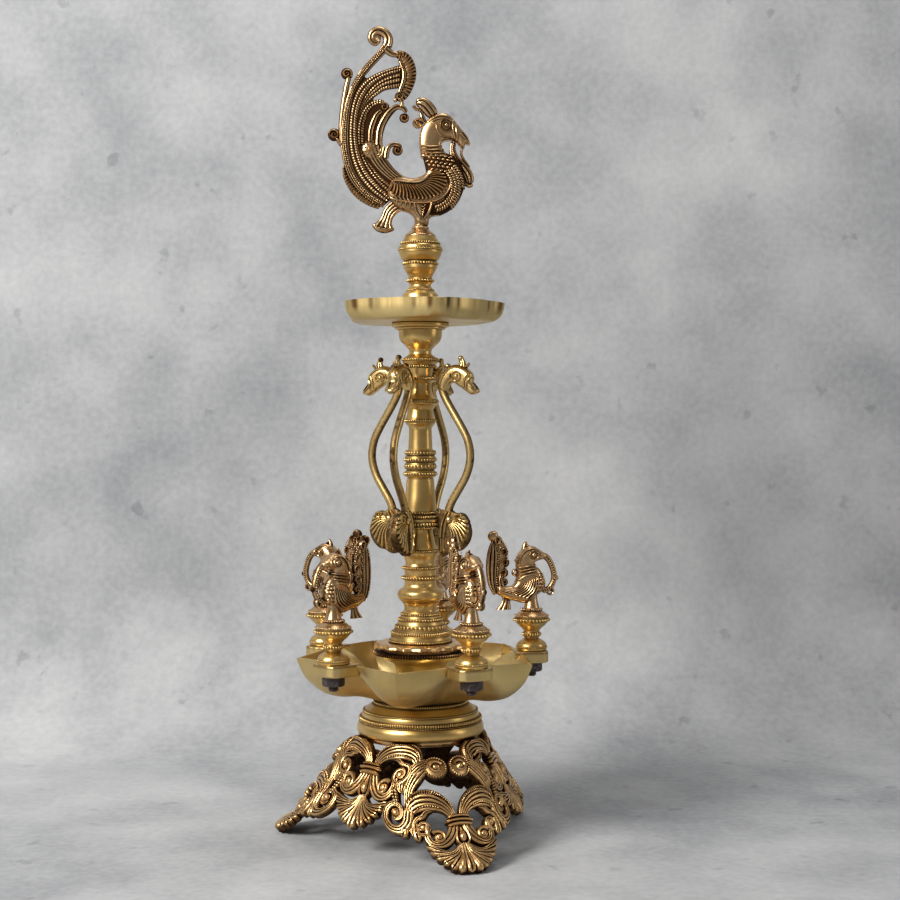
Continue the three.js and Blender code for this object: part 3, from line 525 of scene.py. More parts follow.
knurl, given, made = tree_with("knurled_ring", KNURL_INPUTS)
circle = chain(
    knurl, "GeometryNodeMeshCircle",
    Vertices=given.outputs["Count"], Radius=given.outputs["Ring radius"],
)
outward = knurl.nodes.new("GeometryNodeInputPosition")
aimed = chain(
    knurl, "FunctionNodeAlignEulerToVector", {"axis": "X"}, Vector=outward.outputs[0],
)
kept = chain(
    knurl, "GeometryNodeStoreNamedAttribute", {"data_type": "FLOAT_VECTOR", "domain": "POINT"},
    Geometry=circle.outputs[0], Name="aim", Value=aimed.outputs[0],
)
moved = chain(
    knurl, "GeometryNodeTransform",
    Geometry=kept.outputs[0], Translation=given.outputs["Place"],
)
aim = chain(knurl, "GeometryNodeInputNamedAttribute", {"data_type": "FLOAT_VECTOR"}, Name="aim")
marks = marks_on_points(knurl, given, moved.outputs[0], 8, 5, Rotation=aim.outputs[0])
join = knurl.nodes.new("GeometryNodeJoinGeometry")
knurl.links.new(marks.outputs[0], join.inputs[0])
knurl.links.new(given.outputs["Geometry"], join.inputs[0])
finished(knurl, given, made, join)


# %% Running a tree on a mesh and keeping the result as a plain mesh
def grown(mesh, tree, *settings):
    """The mesh after one modifier with this tree for each set of inputs."""
    host = bpy.data.objects.new(mesh.name, mesh)
    scene.collection.objects.link(host)
    names = {item.name: item.identifier for item in tree.interface.items_tree
             if item.in_out == "INPUT"}
    for inputs in settings:
        modifier = host.modifiers.new(tree.name, "NODES")
        modifier.node_group = tree
        for label, value in inputs.items():
            modifier[names[label]] = value
    ready = host.evaluated_get(bpy.context.evaluated_depsgraph_get())
    result = bpy.data.meshes.new_from_object(ready)
    bpy.data.objects.remove(host)
    return result


MARK_PITCH = 2.35
MARK_PROUD = 0.2


def knurled(mesh, finish, rings, centre=(0, 0)):
    """Adds rings of marks, each a radius, a height and a mark's depth, width and height."""
    settings = [{
        "Count": round(TURN * radius / (MARK_PITCH * size[1])),
        "Ring radius": (radius + MARK_PROUD) * MM,
        "Place": (centre[0] * MM, centre[1] * MM, height * MM),
        "Mark size": tuple(reach * MM for reach in size),
        "Finish": FINISHES[finish].material,
    } for radius, height, size in rings]
    return grown(mesh, knurl, *settings) if settings else mesh

# %% [markdown]
# ## Turned pieces
# The dome, the column, the collar, the hub, the vase and the five pedestals come off a lathe. Each
# is half a profile swept round an axis: the modifier called Screw could do it, but plain rings of
# points also carry how far the tool has travelled, which draws the turning lines. A profile is
# given as runs; a run is smooth inside, and the line breaks sharply where one run ends and the
# next begins.

# %% Sweeping a profile round the axis
ROD_BORE = 4.3
SIDES = 96


def ring_at(radius, height, centre=(0, 0), sides=SIDES):
    """Points round an axis; the radius is a number, or an array with one for each side."""
    turn = np.arange(sides) * TURN / sides
    x, y = centre[0] + radius * np.sin(turn), centre[1] - radius * np.cos(turn)
    return np.column_stack([x, y, np.full(sides, height)])


def profile_of(runs, foot=None, top=None):
    """One line of radius and height pairs, stretched to reach from foot to top."""
    line = np.vstack([smooth_line(run) if len(run) > 2 else np.array(run, float) for run in runs])
    low, high = line[0, 1], line[-1, 1]
    if foot is not None:
        line[:, 1] = foot + (line[:, 1] - low) * (top - foot) / (high - low)
    return line


def with_levels(line, heights):
    """The same line with points added where it passes these heights."""
    for height in sorted(heights):
        k = int(np.argmax(line[:, 1] > height))
        if k and line[k - 1, 1] < height:
            share = (height - line[k - 1, 1]) / (line[k, 1] - line[k - 1, 1])
            line = np.insert(line, k, line[k - 1] * (1 - share) + line[k] * share, axis=0)
    return line


def turned_form(line, centre=(0, 0), bore=ROD_BORE, sides=SIDES, rings=()):
    """A closed turned body round a bore; the line is darkened behind each ring of marks, as painted
    shade between the marks.
    """
    bands = [(height, size[2] + 0.35) for _, height, size in rings]
    line = with_levels(line, [height + step * reach for height, reach in bands
                              for step in (-1.5, -1, 0, 1, 1.5)])
    loop = np.vstack([[bore, line[0, 1]], line, [bore, line[-1, 1]]])
    travel = np.concatenate([[0], np.cumsum(np.linalg.norm(np.diff(loop, axis=0), axis=1))])
    dark = np.zeros(len(loop))
    for height, reach in bands:
        dark = np.maximum(dark, np.clip(3 - 2 * np.abs(loop[:, 1] - height) / reach, 0, 1))
    rounds = [ring_at(radius, height, centre, sides) for radius, height in loop]
    points, faces = sheet_of_rings(rounds, closed_along=True)
    return Form().add(points, faces, np.repeat(dark, sides), np.repeat(travel, sides))


def turned_piece(node, runs, rings=(), slot="turned_brass", body="stand", bore=ROD_BORE):
    centre = middle_of(node)
    foot, top = foot_and_top(node)
    drawn_foot, drawn_top = runs[0][0][1], runs[-1][-1][1]
    line = profile_of(runs, foot, top)
    rise = (top - foot) / (drawn_top - drawn_foot)
    lifted = [(radius, foot + (height - drawn_foot) * rise, size) for radius, height, size in rings]
    mesh = turned_form(line, centre, bore, rings=lifted).mesh(node, slot)
    return piece(node + "_turned", knurled(mesh, slot, lifted, centre), body, slot, node)


BEAD = (1.0, 0.98, 1.1)
FINE_BEAD = (0.8, 0.8, 0.9)
TOOTH = (0.75, 0.6, 1.2)
TALL_TOOTH = (0.9, 0.75, 1.8)
LOZENGE = (0.6, 1.3, 1.5)
PEARL = (1.1, 1.15, 1.15)

# %% Ring and dome on top of the base
turned_piece("pedestal_dome", [
    [(47.6, 84), (49, 84.3), (50.2, 86), (50.8, 88.6), (50.4, 91.4), (49.2, 93.6)],
    [(47.9, 94.2), (47.6, 95)],
    [(48.3, 95.6), (48.5, 96.7), (48.0, 97.8)],
    [(46.9, 98.2), (46.7, 100), (46.2, 101.6), (44.8, 103.4), (42.4, 105.2), (39.4, 107.2)],
    [(38.2, 107.9), (36.8, 109), (36, 110.5)],
], [
    (48.3, 96.7, (0.9, 0.85, 1.3)), (47.6, 94.4, (0.5, 0.6, 0.5)), (45.6, 102.6, (0.5, 0.6, 0.6)),
    (36.9, 109.2, TOOTH),
])

# %% Column, from its bell-shaped foot to the cup under the plate
turned_piece("column_foot", [
    [(25, 156.5), (25.2, 157.6), (24.6, 159)],
    [(24.2, 159.4), (23.6, 162), (22.2, 165.4), (20.6, 167.6), (19.2, 170), (18, 173),
     (16.5, 176.5), (15, 179.2), (13.9, 181.2)],
    [(13.2, 181.6), (13.1, 183.4), (13.5, 186.3), (14.8, 188.6)],
    [(14.6, 188.8), (16.5, 190), (17.9, 192), (18.4, 194.4), (17.9, 196.8), (16.2, 199)],
    [(15.0, 199.2), (13.5, 200.7), (12.7, 202.4), (12.6, 204), (13, 206)],
], [
    (17.2, 174.9, BEAD), (20, 168.7, (0.6, 1.5, 1.8)), (22.7, 163.8, TALL_TOOTH),
    (24.9, 158.0, (0.4, 0.7, 0.7)), (15.2, 179.0, FINE_BEAD),
])
turned_piece("lower_column", [
    [(13, 206), (14.1, 206.6), (14.5, 208), (14.1, 209.3), (13.1, 209.8)],
    [(12.7, 210), (12.7, 212.6), (13.4, 215)],
    [(13.6, 215), (14.6, 216), (13.6, 217)],
    [(12.7, 217.4), (12, 219.6), (12.7, 223), (14.2, 226), (15.2, 229), (14.9, 230.6)],
    [(14.2, 230.8), (13, 232.6), (11.6, 236), (11, 240), (10.2, 243.4), (10.2, 247)],
], [(14.4, 208, BEAD), (14.4, 216, FINE_BEAD), (15.1, 229.6, FINE_BEAD)])
turned_piece("middle_column", [
    [(13, 258), (13, 260.4), (12.3, 270), (11.6, 278), (11, 286.8)],
    [(10.3, 287.2), (10.3, 288)],
    [(11.4, 288.4), (12.6, 289.4), (12.9, 291), (12.6, 292.7), (11.6, 293.6)],
    [(11, 293.8), (11, 294.4)],
    [(12.2, 294.8), (12.6, 297), (12.2, 299.4)],
    [(11.2, 299.8), (11.2, 300.3)],
    [(12.3, 300.7), (12.7, 302.2), (12.3, 303.8), (12.2, 305)],
    [(11.2, 305.3), (11.2, 305.8)],
    [(12.2, 306.2), (12.1, 309.6)],
    [(10.4, 310), (9.8, 311)],
], [
    (12.7, 291, BEAD), (12.5, 302.2, BEAD), (12.4, 296.9, LOZENGE), (12, 307.8, (0.6, 1.1, 1.2)),
    (13.0, 260, FINE_BEAD),
])
turned_piece("upper_column", [
    [(9.7, 311), (9.3, 319), (9, 327)],
    [(9.5, 328.4), (10.5, 329.6), (11.8, 331)],
    [(11.6, 331.4), (12.5, 333.3), (11.7, 335.4)],
    [(11.3, 335.8), (10.5, 339), (10, 342)],
    [(10.2, 342.2), (12.6, 345.6), (14.2, 346.8), (14.6, 348.5), (14.2, 350.2), (13, 351.4)],
    [(12.6, 351.8), (10.6, 354), (9.4, 357), (9, 360), (9.1, 363.4)],
    [(11.6, 364.6), (13.8, 365.8), (14.1, 367), (13.7, 368.1), (11.2, 368.5)],
], [(12.3, 333.3, FINE_BEAD), (14.2, 348.9, FINE_BEAD), (13.9, 366.9, FINE_BEAD)])
turned_piece("tulip_cup", [
    [(9.4, 368.5), (9.6, 371), (10.4, 375.3)],
    [(10.9, 375.6), (11.5, 377), (13, 378.8), (14.6, 380.2)],
    [(14.4, 380.5), (14.8, 382.3), (14.2, 383.4)],
    [(13, 383.6), (11.8, 384.4), (9.6, 386)],
    [(9.2, 386.3), (8.9, 388), (9.3, 390), (11.4, 392.5), (14.2, 395), (16, 397.2), (17, 400),
     (17.4, 404), (17.5, 406)],
], [(14.5, 382, FINE_BEAD), (11.2, 376.6, FINE_BEAD)])
turned_piece("plate_flange", [
    [(19.6, 406), (20.1, 406.6), (20.1, 407.7)],
    [(22, 407.9), (22.8, 408.5), (22.8, 410.8), (22.3, 411.5)],
])

# %% Vase above the plate
turned_piece("finial_vase", [
    [(18, 414), (17.8, 418), (16.4, 425), (14.2, 434)],
    [(13.6, 434.4), (12.1, 436), (10.4, 438), (9, 440), (8.6, 441.6), (9.3, 443.4)],
    [(9.4, 443.6), (10.1, 445), (9.4, 446.4)],
    [(9.3, 447), (10.4, 450), (11.8, 452.2), (12.9, 454.8)],
    [(13.4, 455), (13.5, 457.6), (13.4, 460)],
    [(12.7, 460.2), (12.8, 460.7)],
    [(14.6, 461.6), (16.2, 464.6), (17, 467)],
    [(17.4, 467.4), (17.5, 470), (17.3, 472.2)],
    [(16.6, 472.5), (15, 475), (14, 477.2), (12.6, 480)],
], [
    (10, 445, BEAD), (13.5, 458.6, BEAD), (17.4, 469.6, (0.4, 0.6, 0.6)), (15.3, 474.8, FINE_BEAD),
    (15.8, 427.4, FINE_BEAD), (10.6, 437.6, (0.6, 0.6, 0.6)),
])

# %% Five pedestals on the bowl's ears
for k in range(1, 6):
    turned_piece(f"bird_pedestal_{k}", [
        [(12, 148), (12.4, 149.6), (12.3, 152), (10.8, 154.6), (8.2, 156.4), (6.2, 157.6)],
        [(5.6, 157.8), (5.7, 158.6)],
        [(6.6, 159), (7.2, 160), (7.2, 162), (6.6, 163)],
        [(6.2, 163.2), (6.8, 164.4), (8.6, 166.4), (11, 168.4), (13, 170.8)],
        [(13.5, 171.2), (14.3, 172), (14.3, 173.6), (13.5, 174.3)],
        [(13.2, 174.4), (13.2, 175)],
    ], [(7.1, 161, (0.9, 0.9, 1.3)), (14, 172.8, PEARL), (12.2, 151, (0.4, 0.6, 0.6))])

# %% [markdown]
# ## Thin walls wound round the axis
# The two oil dishes are castings about two millimetres thick whose outline swells into spouts. A
# circle of profiles makes the outer side; each point is then moved inwards along the surface's own
# direction for the inner side, and a small half round joins the two at the rim. Solidify would do
# nearly this, but it can't keep the flat floor and the bore.

# %% A wound dish with a real thickness
def grid_normals(grid):
    """Directions square to a grid of points that is closed across."""
    along = np.gradient(grid, axis=0)
    across = (np.roll(grid, -1, axis=1) - np.roll(grid, 1, axis=1)) / 2
    normal = np.cross(across, along)
    return normal / np.maximum(np.linalg.norm(normal, axis=2, keepdims=True), 1e-9)


def dish_form(profile_at, wall, floor_top, angles, lip=3):
    """A closed dish from the outer profile at each angle, as thick as wall, with a round lip."""
    outer = np.stack([[(r * math.sin(a), -r * math.cos(a), z) for r, z in profile_at(a)]
                      for a in angles], axis=1)
    normal = grid_normals(outer)
    inner = outer - wall * normal
    inner[0, :, 2] = inner[1, :, 2] = floor_top
    inner[0, :, :2] = outer[0, :, :2]
    edge = []
    rim_up = outer[-1] - outer[-2]
    rim_up /= np.linalg.norm(rim_up, axis=1, keepdims=True)
    for k in range(1, lip + 1):
        turn = math.pi * k / (lip + 1)
        share = (1 - math.cos(turn)) / 2
        edge.append(outer[-1] * (1 - share) + inner[-1] * share + rim_up * wall * 0.5 * math.sin(turn))
    top = outer[-1, :, 2].copy()
    for row in edge:
        row[:, 2] = np.minimum(row[:, 2], np.maximum(top, row[:, 2] - wall * 0.5))
    rings = [*outer, *edge, *inner[::-1]]
    points, faces = sheet_of_rings(rings, closed_along=True)
    return Form().add(points, faces)


def lobe_share(angle, first, count):
    """How far an angle is from the middle of its lobe: 0 there, 1 where two lobes meet."""
    lobe = TURN / count
    turn = (angle - math.radians(first) + 0.5 * lobe) % lobe - 0.5 * lobe
    return abs(turn) / (lobe / 2)


def mix(low, high, share):
    return low + (high - low) * share

# %% [markdown]
# ## Lower oil bowl
# Five pouches, each with its own pointed spout, grow out of one central cup, and where two of them
# meet the wall folds sharply in. The pouch and the fold are two profiles; every angle gets a mix of
# them. The ears that carry the birds are thick tabs cast in the folds, with rough, darker edges.

# %% The bowl's wall
BOWL_FOOT, BOWL_FLOOR, BOWL_RIM = 110.5, 113.5, 147.0
FIRST_SPOUT, BOWL_SIDES = -11, 300
POUCH = smooth_line([(0.0, 0.0), (0.14, 0.07), (0.3, 0.11), (0.485, 0.105), (0.668, 0.18), (0.81, 0.34),
                     (0.93, 0.58), (0.985, 0.86), (1, 1)], 5)
FOLD = smooth_line([(0.0, 0.0), (0.11, 0.12), (0.22, 0.26), (0.33, 0.42), (0.47, 0.62), (0.62, 0.79),
                    (0.78, 0.9), (0.91, 0.97), (1, 1)], 5)


def bowl_profile(angle):
    fold = lobe_share(angle, FIRST_SPOUT, 5)
    swell = math.cos(fold * math.pi / 2)
    tip = mix(80, 98.9, 0.6 * (1 - fold) ** 1.3 + 0.4 * (1 - fold) ** 4)
    round_rim = mix(80, 95, swell)
    line = [(ROD_BORE, BOWL_FOOT), (33, BOWL_FOOT)]
    for (fold_out, fold_up), (pouch_out, pouch_up) in zip(FOLD, POUCH):
        fullness = swell ** mix(1.5, 0.7, pouch_up)
        out, up = mix(fold_out, pouch_out, fullness), mix(fold_up, pouch_up, fullness)
        rim = mix(round_rim, tip, up ** 1.5)
        line.append((mix(35, rim, out), mix(BOWL_FOOT, BOWL_RIM - 0.6 - 1.6 * (1 - fold) ** 5, up)))
    return line


bowl_angles = np.arange(BOWL_SIDES) * TURN / BOWL_SIDES + math.radians(FIRST_SPOUT)
bowl = dish_form(bowl_profile, 2.2, BOWL_FLOOR, bowl_angles)
print("bowl wall:", len(bowl.faces), "faces")


# %% An ear, drawn outwards from the stud's axis, with a rounded edge and a round hole
def rounded_tab(outline, hole, foot, top, soften=1.2):
    """A flat tab with softened edges round a bore, from an outline drawn evenly round the bore."""
    def level(flat, height):
        return np.column_stack([flat, np.full(len(flat), height)])

    turn = np.arctan2(outline[:, 1], outline[:, 0])
    bore = np.column_stack([np.cos(turn), np.sin(turn)]) * hole
    side = [level(outline, mix(foot, top, share)) for share in (0.4, 0.7)]
    for inset, drop in ((0, soften), (0.3, 0.4 * soften), (1, 0)):
        shrunk = outline * (1 - inset * soften / np.linalg.norm(outline, axis=1, keepdims=True))
        side = [level(shrunk, foot + drop), *side, level(shrunk, top - drop)]
    return sheet_of_rings([level(bore, foot), *side, level(bore, top)], closed_along=True)


def placed(points, angle, radius=0.0, rise=0.0):
    """Turns points drawn outwards along +X to an angle about the axis."""
    points = np.asarray(points, float) + (radius, 0, rise)
    turn = math.radians(angle - 90)
    x, y = points[:, 0].copy(), points[:, 1].copy()
    points[:, 0] = x * math.cos(turn) - y * math.sin(turn)
    points[:, 1] = x * math.sin(turn) + y * math.cos(turn)
    return points


EAR_AXIS, EAR_FOOT, EAR_TOP = 90.6, 139.0, 148.0
EAR_SIDES, EAR_ROUGHNESS = 108, 0.008
EAR_ANGLES = [25 + 72 * k for k in range(5)]
half_ear = [(-15, 0), (-15, 8), (-15, 14.6), (-6, 15.1), (3, 14.9), (8, 13.9), (11.2, 10.8),
            (12.6, 5.8), (12.9, 0)]
whole_ear = half_ear + [(x, -y) for x, y in half_ear[-2::-1]]
ear_edge = evenly(smooth_line(whole_ear, 5), EAR_SIDES + 1)[:-1]
ear_edge *= 1 + EAR_ROUGHNESS * np.sin(np.arange(EAR_SIDES) * 1.1)[:, None]
ear_points, ear_faces = rounded_tab(ear_edge, ROD_BORE, EAR_FOOT, EAR_TOP)
for angle in EAR_ANGLES:
    bowl.add(placed(ear_points, angle, EAR_AXIS), ear_faces,
             groove=0.1 + 0.6 * (np.abs(ear_points[:, 2] - EAR_TOP + 0.7) < 0.7))
plain_piece("oil_bowl_lobed", bowl, "satin_brass", "lower_bowl", 20)

# %% [markdown]
# ## Upper oil plate
# The same kind of dish, flat and shallow, whose wall is pinched to five narrow spouts, with painted
# shade along a crease on each side. It rests on its flange and can be turned round the column.

# %% The plate's wall
PLATE_FOOT, PLATE_FLOOR = 411.5, 414
PLATE_SPOUT, PLATE_SIDES = 13, 360
SPOUT = np.array([(0, 1, 1), (3.2, 0.93, 0.82), (5.5, 0.82, 0.62), (7.6, 0.6, 0.34), (11, 0.36, 0.14),
                  (16, 0.17, 0.02), (18, 0.08, 0), (27, 0.05, 0), (36, 0, 0)], float)


def plate_turn(angle):
    """Degrees from the nearest of the plate's five spouts."""
    return lobe_share(angle, PLATE_SPOUT, 5) * 36


def plate_profile(angle):
    turn = plate_turn(angle)
    reach = np.interp(turn, SPOUT[:, 0], SPOUT[:, 1])
    dip = np.interp(turn, SPOUT[:, 0], SPOUT[:, 2])
    rim = mix(57.6, 67.6, reach)
    height = 16.2 - 1.2 * dip
    wall = smooth_line([(50, 0), (mix(50, rim, 0.3), 0.3), (mix(50, rim, 0.6), 0.1 * height + 0.3),
                        (mix(50, rim, 0.88), 0.45 * height), (rim, height)], 5)
    return [(ROD_BORE, PLATE_FOOT), (48, PLATE_FOOT)] + [(r, PLATE_FOOT + z) for r, z in wall]


plate_angles = np.arange(PLATE_SIDES) * TURN / PLATE_SIDES + math.radians(PLATE_SPOUT)
plate = dish_form(plate_profile, 1.8, PLATE_FLOOR, plate_angles)
drawn = np.array(plate.points)
turn = plate_turn(np.arctan2(drawn[:, 0], -drawn[:, 1]))
# Painted shade along a crease on each side of each spout, stronger towards the rim.
marks = 1.1 * np.exp(-((turn - 6.4) / 2.3) ** 2) + 0.8 * np.exp(-((turn - 17.5) / 2.2) ** 2)
plate.groove = (marks * np.clip((drawn[:, 2] - 415) / 7, 0, 1)).tolist()
plain_piece("oil_plate_spouted", plate, "satin_brass", "upper_oil_plate", 24, "oil_plate")

# %% [markdown]
# ## Spool, toothed washer and scalloped flange
# In the middle of the bowl a spool carries a washer with a very fine toothed edge, and on that a
# flange cut like a flower. Both are discs whose edge is a wave, so one helper makes them from the
# radius at each angle and height.

# %% Discs with a waved edge
TEETH, PETALS = 108, 17


def waved_disc(levels, reach_at, count):
    """A closed disc round the rod, from levels of inset and height and the reach at each turn."""
    reach = reach_at(np.arange(count) * TURN / count)
    rings = [ring_at(ROD_BORE, levels[0][1], sides=count),
             *(ring_at(reach - inset, height, sides=count) for inset, height in levels),
             ring_at(ROD_BORE, levels[-1][1], sides=count)]
    return sheet_of_rings(rings, closed_along=True)


def round_edge(reach):
    return lambda turn: reach + 0 * turn


def saw_teeth(turn):
    return 37.9 - 1.9 * np.abs((turn * TEETH / TURN) % 1 - 0.5) * 2


def petals(turn):
    return 37.4 - 2.2 * np.abs(np.sin(turn * PETALS / 2)) ** 1.3


points, faces = waved_disc([(0.6, 147), (0, 147.4), (0, 149.1), (0.4, 149.5)], saw_teeth, 8 * TEETH)
reach = np.hypot(points[:, 0], points[:, 1])
washer = Form().add(points, faces, np.where(reach > 35, np.clip((38.2 - reach) / 1.6, 0, 1), 0.3))
plain_piece("toothed_washer", washer, "antique_brass", "serrated_washer")
flange = Form().add(*waved_disc([(0, 149.5), (0, 152.4)], round_edge(30), 96))
flange.add(*waved_disc([(2.6, 152), (0.6, 152.3), (0, 153.2), (0.2, 154.6), (1.2, 155.9), (2.6, 156.4),
                        (11, 156.5)], petals, 24 * PETALS))
piece("petal_flange", flange.mesh("scalloped_flange", "antique_brass"), "stand", "turned_brass",
      "scalloped_flange")
turned_piece("bowl_hub", [
    [(26, 113.5), (26, 117.4)], [(25, 117.6), (21.4, 121), (18.8, 129), (21, 138.6), (26.6, 142.4)],
    [(30.6, 144.2), (31, 145.6), (31, 147)],
], slot="satin_brass")

# %% [markdown]
# ## Arm collar
# A short beaded band with a socket for each arm. The band alone is turned; its beads and the toothed
# edge above them are rings of marks like the column's.

# %% Collar
turned_piece("arm_collar", [
    [(15.4, 247), (16.4, 247.6), (16.7, 249)], [(16.2, 249.3), (16.2, 252.6)],
    [(16.7, 252.9), (16.5, 254.6), (15.6, 255.3)], [(15, 255.6), (15.2, 258)],
], [(16.1, 251, (0.8, 1.05, 1.5)), (15.1, 256.8, TOOTH), (16.6, 248.3, (0.3, 0.6, 0.5))])

# %% [markdown]
# ## Nuts, studs and the centre rod
# Each bird stands on a stud that comes down through the ear and ends under a black nut. The nut's
# corners are chamfered as a real one's are, and the thread is a ridge whose height depends on the
# angle and the height together, which is all that a helix is.

# %% A nut and a threaded bar
NUT_SIDES, THREAD_SIDES = 72, 24
THREAD_REACH, THREAD_PITCH, THREAD_CUT = 4, 1.25, 0.55
TIP_REACH, TIP_LENGTH = 2.5, 9


def nut(node, flats):
    """A hexagon nut with chamfered corners, for this CAD node."""
    centre, (foot, top) = middle_of(node), foot_and_top(node)
    turn = np.arange(NUT_SIDES) * TURN / NUT_SIDES
    corner = (turn + TURN / 12) % (TURN / 6) - TURN / 12
    hexagon = flats / 2 / np.cos(corner)
    rings = [ring_at(ROD_BORE, foot, centre, NUT_SIDES)]
    for inset, height in ((0.9, foot), (0.45, foot + 0.35), (0, foot + 0.9), (0, top - 0.9),
                          (0.45, top - 0.35), (0.9, top)):
        reach = np.minimum(hexagon, flats / 2 / math.cos(TURN / 12) - inset)
        rings.append(ring_at(reach, height, centre, NUT_SIDES))
    rings.append(ring_at(ROD_BORE, top, centre, NUT_SIDES))
    form = Form().add(*sheet_of_rings(rings, closed_along=True))
    plain_piece(node + "_black", form, "black_steel", node, 25)


def threaded_bar(node, rows=5):
    """A bar for this CAD node: a helical thread, rows to a turn of it, and a thinner tip above."""
    centre, (foot, top) = middle_of(node), foot_and_top(node)
    turn = np.arange(THREAD_SIDES) * TURN / THREAD_SIDES
    shoulder = top - TIP_LENGTH
    rings = []
    for height in [*np.arange(foot, shoulder, THREAD_PITCH / rows), shoulder]:
        wave = np.abs(((height - foot) / THREAD_PITCH + turn / TURN) % 1 - 0.5) * 2
        chamfer = max(0.0, 1.0 - (height - foot)) * 0.9
        reach = THREAD_REACH - THREAD_CUT * (1 - wave) - chamfer
        rings.append(ring_at(reach, height, centre, THREAD_SIDES))
    for inset, height in ((0, shoulder), (0, top - 0.5), (0.5, top)):
        rings.append(ring_at(TIP_REACH - inset, height, centre, THREAD_SIDES))
    plain_piece(node + "_threaded", Form().add(*sheet_of_rings(rings)), "black_steel", node, 50)


for k in range(1, 6):
    nut(f"hex_nut_{k}", 15)
    threaded_bar(f"bird_stud_{k}")
nut("base_nut", 13)
foot, top = foot_and_top("base_washer")
levels = [(0.5, foot), (0, foot + 0.4), (0, top - 0.4), (0.5, top)]
washer = Form().add(*waved_disc(levels, round_edge(14), 72))
plain_piece("base_washer_round", washer, "black_steel", "base_washer")
threaded_bar("centre_rod", rows=4)

# %% [markdown]
# ## Relief ribbons
# All the cast ornament of this lamp, on the base, the birds and the peacock, is drawn with one kind of
# stroke: a ribbon with raised ridges along it and dark grooves between them. It is drawn flat, as two
# edges, and lifted to a cushioned cross-section. What the flat drawing lies on comes later, so the
# same strokes serve the curved base and the upright figures. Curve objects with a bevel could draw
# the strokes, but they can't change their number of ridges and can't carry a groove depth.

# %% A ribbon between two edges
def edges_of(line, widths):
    """The two edges of a stroke from its middle line and its widths."""
    line = np.asarray(line, float)
    way = np.gradient(line, axis=0)
    side = np.column_stack([-way[:, 1], way[:, 0]])
    side /= np.maximum(np.linalg.norm(side, axis=1, keepdims=True), 1e-9)
    half = np.asarray(widths, float)[:, None] / 2
    return line + side * half, line - side * half


def stroke(points, widths, count, round_end, round_start):
    """Edges of a stroke through given points, its widths spread evenly along it."""
    line = evenly(smooth_line(points), count)
    share = np.linspace(0, 1, count)
    width = np.interp(share, np.linspace(0, 1, len(widths)), widths)
    length = np.linalg.norm(np.diff(line, axis=0), axis=1).sum()
    for wanted, from_end in ((round_end, 1 - share), (round_start, share)):
        if wanted:
            near = np.clip(from_end * length / (width / 2 + 1e-6), 0, 1)
            width = width * np.sqrt(np.maximum(1 - (1 - near) ** 2, 0.015))
    return edges_of(line, width)


def ribbon(edges, ridges=3, crown=1.6, cut=1.0, back=None, per_ridge=4, edge_drop=1.2, notch=None,
           least=0.25):
    """A closed ribbon: across and along its drawing, raised above it; back None mirrors the front.
    A notch, its pitch and depth, cuts the ridges across into a row of ticks."""
    left, right = (np.asarray(edge, float) for edge in edges)
    middle = (left + right) / 2
    length = np.linalg.norm(np.diff(middle, axis=0), axis=1).sum()
    if notch:
        count = max(len(left), int(length / notch[0] * 4) + 1)
        left, right = evenly(left, count), evenly(right, count)
    across = np.linspace(-1, 1, ridges * per_ridge + 1)
    wave = np.abs(np.sin((across + 1) / 2 * math.pi * ridges)) ** 0.55
    wave[0] = wave[-1] = 0.35
    arch = np.sqrt(np.maximum(1 - 0.8 * across ** 2, 0))
    width = np.linalg.norm(right - left, axis=1)
    fine = np.clip(width / max(width.max(), 1e-6), least, 1)[:, None]
    level = (crown * arch + cut * (wave - 1)) * fine
    groove = np.repeat(((1 - wave) ** 1.3)[None, :], len(left), axis=0)
    if notch:
        beat = 0.5 - 0.5 * np.cos(np.linspace(0, TURN * round(length / notch[0]), len(left)))[:, None]
        level -= notch[1] * beat * fine
        groove = np.maximum(groove, 0.85 * beat ** 2)
    level[:, 0] -= edge_drop * fine[:, 0] * 0.5
    level[:, -1] -= edge_drop * fine[:, 0] * 0.5
    share = (across + 1) / 2
    flat = left[:, None, :] * (1 - share[None, :, None]) + right[:, None, :] * share[None, :, None]
    front = np.concatenate([flat, level[:, :, None]], axis=2)
    if back is None:
        rear = front[:, ::-1].copy()
        rear[:, :, 2] = -rear[:, :, 2]
        loops = np.concatenate([front, rear[:, 1:-1]], axis=1)
        depth = np.concatenate([groove, groove[:, ::-1][:, 1:-1]], axis=1)
        loops[:, [0, len(across) - 1], 2] = 0
    else:
        rear = front[:, [-1, 0]].copy()
        rear[:, :, 2] = back
        loops = np.concatenate([front, rear], axis=1)
        depth = np.concatenate([groove, np.full((len(left), 2), 0.7)], axis=1)
    points, faces = sheet_of_rings(list(loops))
    return points, faces, depth.ravel()


def strand(points, widths, count, ends, *shape, **more):
    """A ribbon along a smooth line; ends is 0, 1 for a round last end, or 2 for two round ends."""
    return ribbon(stroke(points, widths, count, ends > 0, ends > 1), *shape, **more)


def spiral(centre, start, reach, turns, count, end_reach):
    """Points that wind in towards a centre from a start direction in degrees; minus turns back."""
    share = np.linspace(0, 1, count)
    turn = math.radians(start) + share * turns * TURN
    radius = reach + (end_reach - reach) * share ** 0.85
    return np.column_stack([centre[0] + radius * np.cos(turn), centre[1] + radius * np.sin(turn)])


def coil(centre, start, reach, turns, count, end_reach, widths, *shape, **more):
    """A ribbon along a spiral, its width running from the first of two widths to the second."""
    line = spiral(centre, start, reach, turns, count, end_reach)
    return ribbon(edges_of(line, np.linspace(*widths, count)), *shape, **more)


